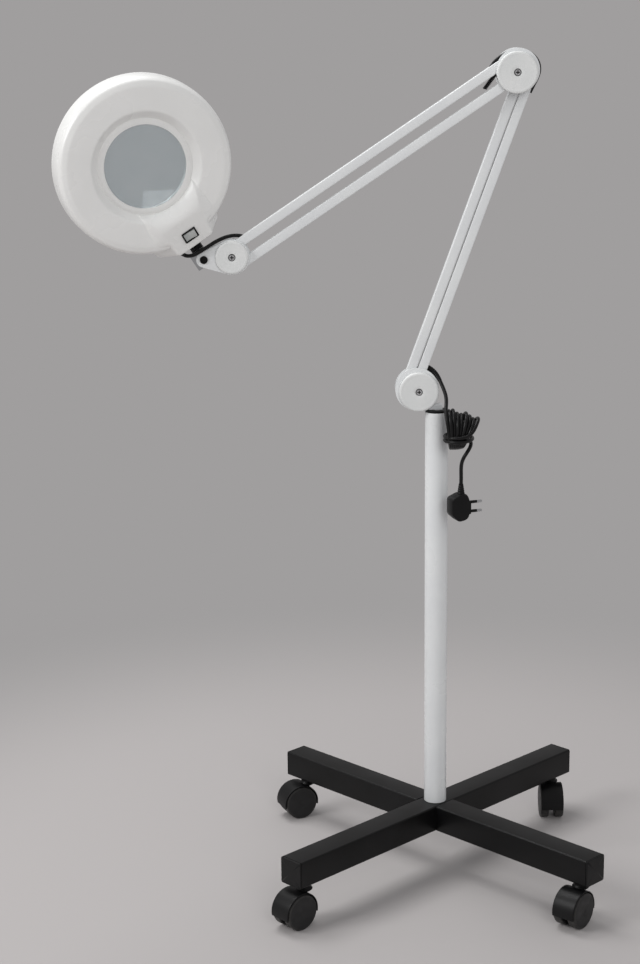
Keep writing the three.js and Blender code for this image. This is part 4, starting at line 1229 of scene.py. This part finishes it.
# %% The head's own directions
def lens_directions():
    """The lens's middle, the directions across the neck and away from it, and the way the lens faces."""
    mesh = frame["nodes"]["lens"].data
    points = np.empty(len(mesh.vertices) * 3)
    mesh.vertices.foreach_get("co", points)
    points = points.reshape(-1, 3) - middle("lens")
    facing = np.linalg.eigh(points.T @ points)[1][:, 0]
    facing = facing * -np.sign(facing[1])
    rocker_axis = pin("switch_rock")[1]
    from_neck = np.cross(facing, unit(np.cross(rocker_axis, facing)))
    if from_neck @ (stud_at - middle("lens")) > 0:
        from_neck = -from_neck
    return middle("lens"), np.cross(from_neck, facing), from_neck, facing


head_centre, head_x, head_y, head_z = lens_directions()


def on_head(points):
    """Millimetres about the lens, x across the neck, y away from it and z towards the user."""
    return placed(np.asarray(points) * MM, head_centre, head_x, head_y, head_z)


print("the head faces", np.round(head_z, 3).tolist())

# %% [markdown]
# The shell is one turned profile: the flat ring, a soft shoulder, the steep skirt, back up inside it,
# down the barrel that holds the lens and up the well to the ring again.

# %% Shell
SHELL = [
    (74, 13), (90, 13.1), (106, 12.9), (113.4, 10.6), (117.3, 4.2), (118.6, -8), (119, -28), (116.5, -28),
    (116.0, -6), (112, 7), (104, 10.5), (75.1, 10.5), (64.7, 0), (64.7, -9.2), (59.1, -9.2), (59.1, -24),
    (56.6, -24), (56.6, -2.6), (62.2, -2.6), (62.2, 1),
]


def add_shell():
    start = (np.array(SHELL[0]) + np.array(SHELL[-1])) / 2
    profile = rounded([start, *SHELL, start], 2.2, 7)[:-1] * MM
    shape = turned(profile, head_centre, head_z, 200, closed=True)
    piece("head_housing", [shape], white_plastic, "head", ("head_shell",), sharp=0.7)


add_shell()

# %% [markdown]
# The neck housing starts in the well at the lens ring, climbs to a crease and carries the switch on the
# slope behind it. Its top narrows away from the lens while its foot spreads over the ring, so the side
# faces widen from nothing at the lens to their full width at the end. It is made of closed sections:
# up one side, over the top, down the other side and back along the shell's own surface. Averaging
# neighbours over the grid then rounds all its edges at once, which is how a moulding looks.

# %% Neck housing
NECK_INNER, NECK_CREASE, NECK_END = 64.2, 85.0, 126.0
NECK_RING_HEIGHT, NECK_CREASE_HEIGHT, NECK_END_HEIGHT = 6.5, 19.4, 10.9
NECK_HALF_TOP = [(50, 42), (NECK_CREASE, 30.2), (NECK_END - 4, 27.5), (NECK_END, 26)]
NECK_HALF_FOOT = [(50, 43.5), (NECK_END - 13, 53), (NECK_END - 4, 50.5), (NECK_END, 44)]
NECK_RING_HALF = 41.5
NECK_FLOOR = -28.0
SKIN = [
    (60, -0.6), (62.2, 0), (74, 12.1), (106, 11.9), (113.4, 9.4), (117.3, 3.2), (118.4, -8),
    (118.9, NECK_FLOOR),
]


def read(table, at):
    """Straight lines through a table's (place, value) pairs."""
    places, values = zip(*table)
    return np.interp(at, places, values)


def skin_height(radius):
    """The height of the shell's outer face over a radius, less a millimetre, and the floor outside it."""
    return np.where(radius > SKIN[-1][0], NECK_FLOOR, read(SKIN, radius))


def neck_sections():
    """Sections from the lens ring to the end. Before the crease a section is curved in plan: its points go
    evenly from a circle about the lens to the straight crease."""
    climb = np.linspace(0, 1, 26)[:, None]
    across = np.linspace(-1, 1, 57)[None]
    circle = np.sqrt(NECK_INNER**2 - (NECK_RING_HALF * across) ** 2)
    away = circle + (NECK_CREASE - circle) * climb
    straight = np.linspace(NECK_CREASE, NECK_END, 44)[1:, None] + 0 * across
    away = np.vstack([away, straight])
    behind = read([(NECK_CREASE, NECK_CREASE_HEIGHT), (NECK_END, NECK_END_HEIGHT)], away)
    hollow = (NECK_CREASE_HEIGHT - NECK_RING_HEIGHT) * (1 - climb) ** 2.3
    rising = NECK_CREASE_HEIGHT - hollow + 0 * across
    height = np.vstack([rising, behind[len(climb):]])
    top = np.stack([across * read(NECK_HALF_TOP, away[:, :1]), -away, height], -1)
    foot = read(NECK_HALF_FOOT, away[:, :1])
    down = np.linspace(0, 1, 27)[None, 1:]
    sides = []
    for sign, corner in ((-1, top[:, :1]), (1, top[:, -1:])):
        toe = np.stack([sign * foot, corner[..., 1], skin_height(np.hypot(foot, corner[..., 1]))], -1)
        sides.append(corner + (toe - corner) * down[..., None])
    under = np.stack([foot * -across[:, 1:-1], -away[:, ::-1][:, 1:-1], 0 * away[:, 1:-1]], -1)
    under[..., 2] = skin_height(np.hypot(under[..., 0], under[..., 1]))
    return np.concatenate([sides[0][:, ::-1], top, sides[1], under], 1), under.shape[1]


def softened(rings, passes, keep):
    """Neighbour averages along and across the grid, except where keep is set."""
    for _ in range(passes):
        around = (np.roll(rings, 1, 1) + 2 * rings + np.roll(rings, -1, 1)) / 4
        around[1:-1] = (around[:-2] + 2 * around[1:-1] + around[2:]) / 4
        rings = np.where(keep[..., None], rings, around)
    return rings


def add_neck():
    """The sections with a flat end on each side, whose rings shrink to a point or a line."""
    rings, hidden = neck_sections()
    end = rings[-1].mean(0)
    cap = end + (rings[-1] - end) * np.linspace(1, 0.06, 26)[1:, None, None]
    inner = rings[0] * [1, 1, 0] + [0, 0, -0.5]
    inner = inner + (rings[0] - inner) * np.linspace(0, 1, 8)[:-1, None, None]
    rings = np.concatenate([inner, rings, cap])
    keep = np.zeros(rings.shape[:2], bool)
    keep[:, -hidden:] = True
    housing = shell(on_head(softened(rings, 4, keep)))
    piece("neck_housing", [housing], white_plastic, "head", ("neck_cover",), sharp=1.2)


add_neck()

# %% [markdown]
# The lens is a ground disc, domed on both faces, held by a white ring. Under the shell the circular
# lamp stands round the barrel on two wire clips, with its pins in a moulded base.

# %% Lens, ring and lamp
LENS_RADIUS = 60.0
LAMP_RING, LAMP_TUBE_RADIUS, LAMP_LEVEL = 93.5, 13.9, -10.0
CLIP_RADIUS, CLIP_WIRE = 15, 0.9 * MM


def add_optics():
    radius = np.append(np.linspace(0.05, 59, 30), [59.7, 60])
    dome = 1.5 + 5 * (1 - (radius / LENS_RADIUS) ** 2)
    dome[-1] = 1.0
    profile = np.vstack([np.stack([radius, -dome], -1), np.stack([radius, dome], -1)[::-1]]) * MM
    piece("lens_glass_disc", [turned(profile, head_centre, head_z, 160)], glass, "head", ("lens",),
          sharp=0.9)
    ring = rounded([
        (55.3, 3.6), (60, 1.9), (61.9, 1.6), (64.3, 2.0), (64.3, 2.7), (60, 4.4), (55.6, 4.6), (55.3, 3.6),
    ], 0.5, 4)[:-1] * MM
    piece("lens_retainer", [turned(ring, head_centre, head_z, 160, closed=True)], white_plastic, "head",
          ("lens_ring",))
    angle = np.linspace(0, 2 * math.pi, 28, endpoint=False)
    circle = LAMP_TUBE_RADIUS * np.stack([np.cos(angle), np.sin(angle)], -1)
    section = circle + [LAMP_RING, LAMP_LEVEL]
    ring_tube = turned(section * MM, head_centre, head_z, 160, closed=True)
    low, high = on_head([[0, LAMP_RING - 1.5, -24], [0, LAMP_RING - 1.5, 10.2]])
    block = bar(square_section(34 * MM, 24.5 * MM, 3 * MM, 6), low, high, head_x, inset=1.2 * MM)
    piece("circular_lamp", [ring_tube, block], lamp_white, "head", ("lamp_tube",))
    clips = []
    for turn in (math.radians(215), math.radians(325)):
        out = np.array([math.cos(turn), math.sin(turn), 0])
        bend = np.linspace(-0.35 * math.pi, 1.35 * math.pi, 40)[:, None]
        wire = out * (LAMP_RING + CLIP_RADIUS * np.sin(bend)) + Z * (LAMP_LEVEL - CLIP_RADIUS * np.cos(bend))
        clips.append(tube(even(on_head(wire), 1 * MM), CLIP_WIRE, 10))
    piece("lamp_clips", clips, steel, "head")


add_optics()

# %% [markdown]
# The rocker switch has a black bezel with a stepped edge, drawn as rectangles one after another round
# its section, and a smoky rocker whose face is hollow, so that one end stands up while the other is
# pressed.

# %% Switch
BEZEL_LONG, BEZEL_SHORT, BEZEL_HIGH = 21.0, 15.0, 2.0
ROCKER_LONG, ROCKER_SHORT = 16.2, 10.4
ROCKER_REST = math.radians(8)
ROCKER_LOW, ROCKER_DISH = 1.35, 1.25


def add_switch():
    pivot, axis = pin("switch_rock")
    back = unit(axis * np.sign(axis @ head_y))
    up = unit(np.cross(head_x, back))

    def on_switch(points):
        return placed(np.asarray(points) * MM, pivot, head_x, back, up)

    def hoop(rows):
        """A closed shape through rectangles: how much larger than a base each is, its corner and height."""
        rings = []
        for (long, short), more, corner, height in rows:
            flat = square_section(long + more, short + more, corner, 6)
            rings.append(np.column_stack([flat, np.full(len(flat), height)]))
        return shell(on_switch(np.array(rings)), ends=False)

    outside, inside, foot = (BEZEL_LONG, BEZEL_SHORT), (ROCKER_LONG, ROCKER_SHORT), (4, 4)
    bezel = hoop([
        (outside, 0, 1.2, 0), (outside, 0, 1.2, 1.4), (outside, -0.8, 1, BEZEL_HIGH),
        (inside, 1.8, 0.7, BEZEL_HIGH), (inside, 0.9, 0.5, 1.2), (inside, 0.7, 0.5, -8),
    ])
    body = hoop([
        (outside, -2.6, 0.6, 0.4), (outside, -2.6, 0.6, -11), (foot, 0, 0.6, -11.2),
        (foot, 0, 0.6, -8.2), (inside, 1.2, 0.5, -8), (inside, 1.2, 0.5, 0.2),
    ])
    piece("switch_bezel", [bezel, body], black_plastic, "head", ("switch_frame",))

    x = np.linspace(-1, 1, 33)
    face = np.stack([x * ROCKER_LONG / 2, ROCKER_LOW + ROCKER_DISH * x**2], -1)
    under = [(ROCKER_LONG / 2, 1.0), (2.4, -4.4), (-2.4, -4.4), (-ROCKER_LONG / 2, 1.0)]
    cosine, sine = math.cos(ROCKER_REST), math.sin(ROCKER_REST)
    outline = np.vstack([face, under]) @ np.array([[cosine, sine], [-sine, cosine]])
    rings = slab(outline, -ROCKER_SHORT / 2, ROCKER_SHORT / 2, 0.35)
    piece("switch_paddle", [shell(on_switch(rings))], rocker_grey, "rocker", ("switch_rocker",))
    print("rocker face stands", round(float(rings[..., 2].max()), 2), "mm over its pivot")


add_switch()

# %% [markdown]
# The room is a wide pale floor that goes over into the background by itself: near the lamp it is a
# matt surface that takes shadows, and further out its colour fades to the world's, so no horizon shows.
# The lamps are large and soft: one high on the left, one overhead and behind, and a weaker one beside
# the camera.

# %% Room and light
BACKDROP = colour(160, 158, 158)
FLOOR_COLOUR = colour(182, 178, 177)
FADE_NEAR, FADE_FAR = 0.6, 1.35
FLOOR_RADIUS, FLOOR_SIDES = 12, 96
ROOM_LIGHT = 0.5
LIT_POINT = (0.0, 0.0, 0.7)


def seen_directly(wire):
    """1 for rays from the camera and for reflections and refractions of the room."""
    rays = [wire.make("ShaderNodeLightPath", output=name)
            for name in ("Is Camera Ray", "Is Glossy Ray", "Is Transmission Ray")]
    return wire.math("MINIMUM", rays[0] + rays[1] + rays[2], 1.0)


def make_floor():
    material = bpy.data.materials.new("floor")
    wire = empty_tree(material)
    centred = wire.make(
        "ShaderNodeVectorMath", {"operation": "SUBTRACT"}, {0: place_on(wire), 1: tuple(axis_foot)})
    distance = wire.make("ShaderNodeVectorMath", {"operation": "LENGTH"}, {0: centred}, output="Value")
    faded = wire.make(
        "ShaderNodeMapRange", {"interpolation_type": "SMOOTHSTEP"},
        {"Value": distance, "From Min": FADE_NEAR, "From Max": FADE_FAR}, output="Result")
    matt = wire.make("ShaderNodeBsdfPrincipled", {}, {"Base Color": FLOOR_COLOUR, "Roughness": 0.8})
    glow = wire.make("ShaderNodeEmission", {}, {"Color": BACKDROP, "Strength": 1.0})
    mix = wire.make("ShaderNodeMixShader", {}, {0: faded * seen_directly(wire), 1: matt, 2: glow})
    wire.make("ShaderNodeOutputMaterial", {}, {"Surface": mix})
    turn = np.linspace(0, 2 * math.pi, FLOOR_SIDES, endpoint=False)
    rim = FLOOR_RADIUS * np.column_stack([np.cos(turn), np.sin(turn), 0 * turn])
    mesh = bpy.data.meshes.new("floor")
    mesh.from_pydata(rim.tolist(), [], [list(range(FLOOR_SIDES))])
    mesh.materials.append(material)
    floor = bpy.data.objects.new("floor", mesh)
    bpy.context.scene.collection.objects.link(floor)


def make_world():
    world = bpy.data.worlds.new("world")
    bpy.context.scene.world = world
    wire = empty_tree(world)
    seen = wire.make("ShaderNodeBackground", {}, {"Color": BACKDROP, "Strength": 1.0})
    lit = wire.make("ShaderNodeBackground", {}, {"Color": colour(240, 240, 242), "Strength": ROOM_LIGHT})
    mix = wire.make("ShaderNodeMixShader", {}, {0: seen_directly(wire), 1: lit, 2: seen})
    wire.make("ShaderNodeOutputWorld", {}, {"Surface": mix})


def add_lamp(name, place, aim, side, watts, mirrored=True):
    """A square softbox of that side, turned to shine at a point. One that isn't mirrored lights the lamp
    without showing as a bright square in its gloss."""
    data = bpy.data.lights.new(name, "AREA")
    data.shape, data.size, data.energy = "SQUARE", side, watts
    made = bpy.data.objects.new(name, data)
    made.location = place
    made.visible_glossy = mirrored
    made.rotation_mode = "QUATERNION"
    made.rotation_quaternion = (Vector(aim) - Vector(place)).to_track_quat("-Z", "Y")
    bpy.context.scene.collection.objects.link(made)


make_floor()
make_world()
add_lamp("key_softbox", (-2.7, -1.2, 2.2), LIT_POINT, 1.3, 41)
add_lamp("top_softbox", (-0.9, 0.8, 3.2), LIT_POINT, 1.6, 42)
add_lamp("front_softbox", (0.9, -3.2, 2.0), LIT_POINT, 1.6, 30, mirrored=False)
bpy.context.scene.view_settings.view_transform = "Standard"
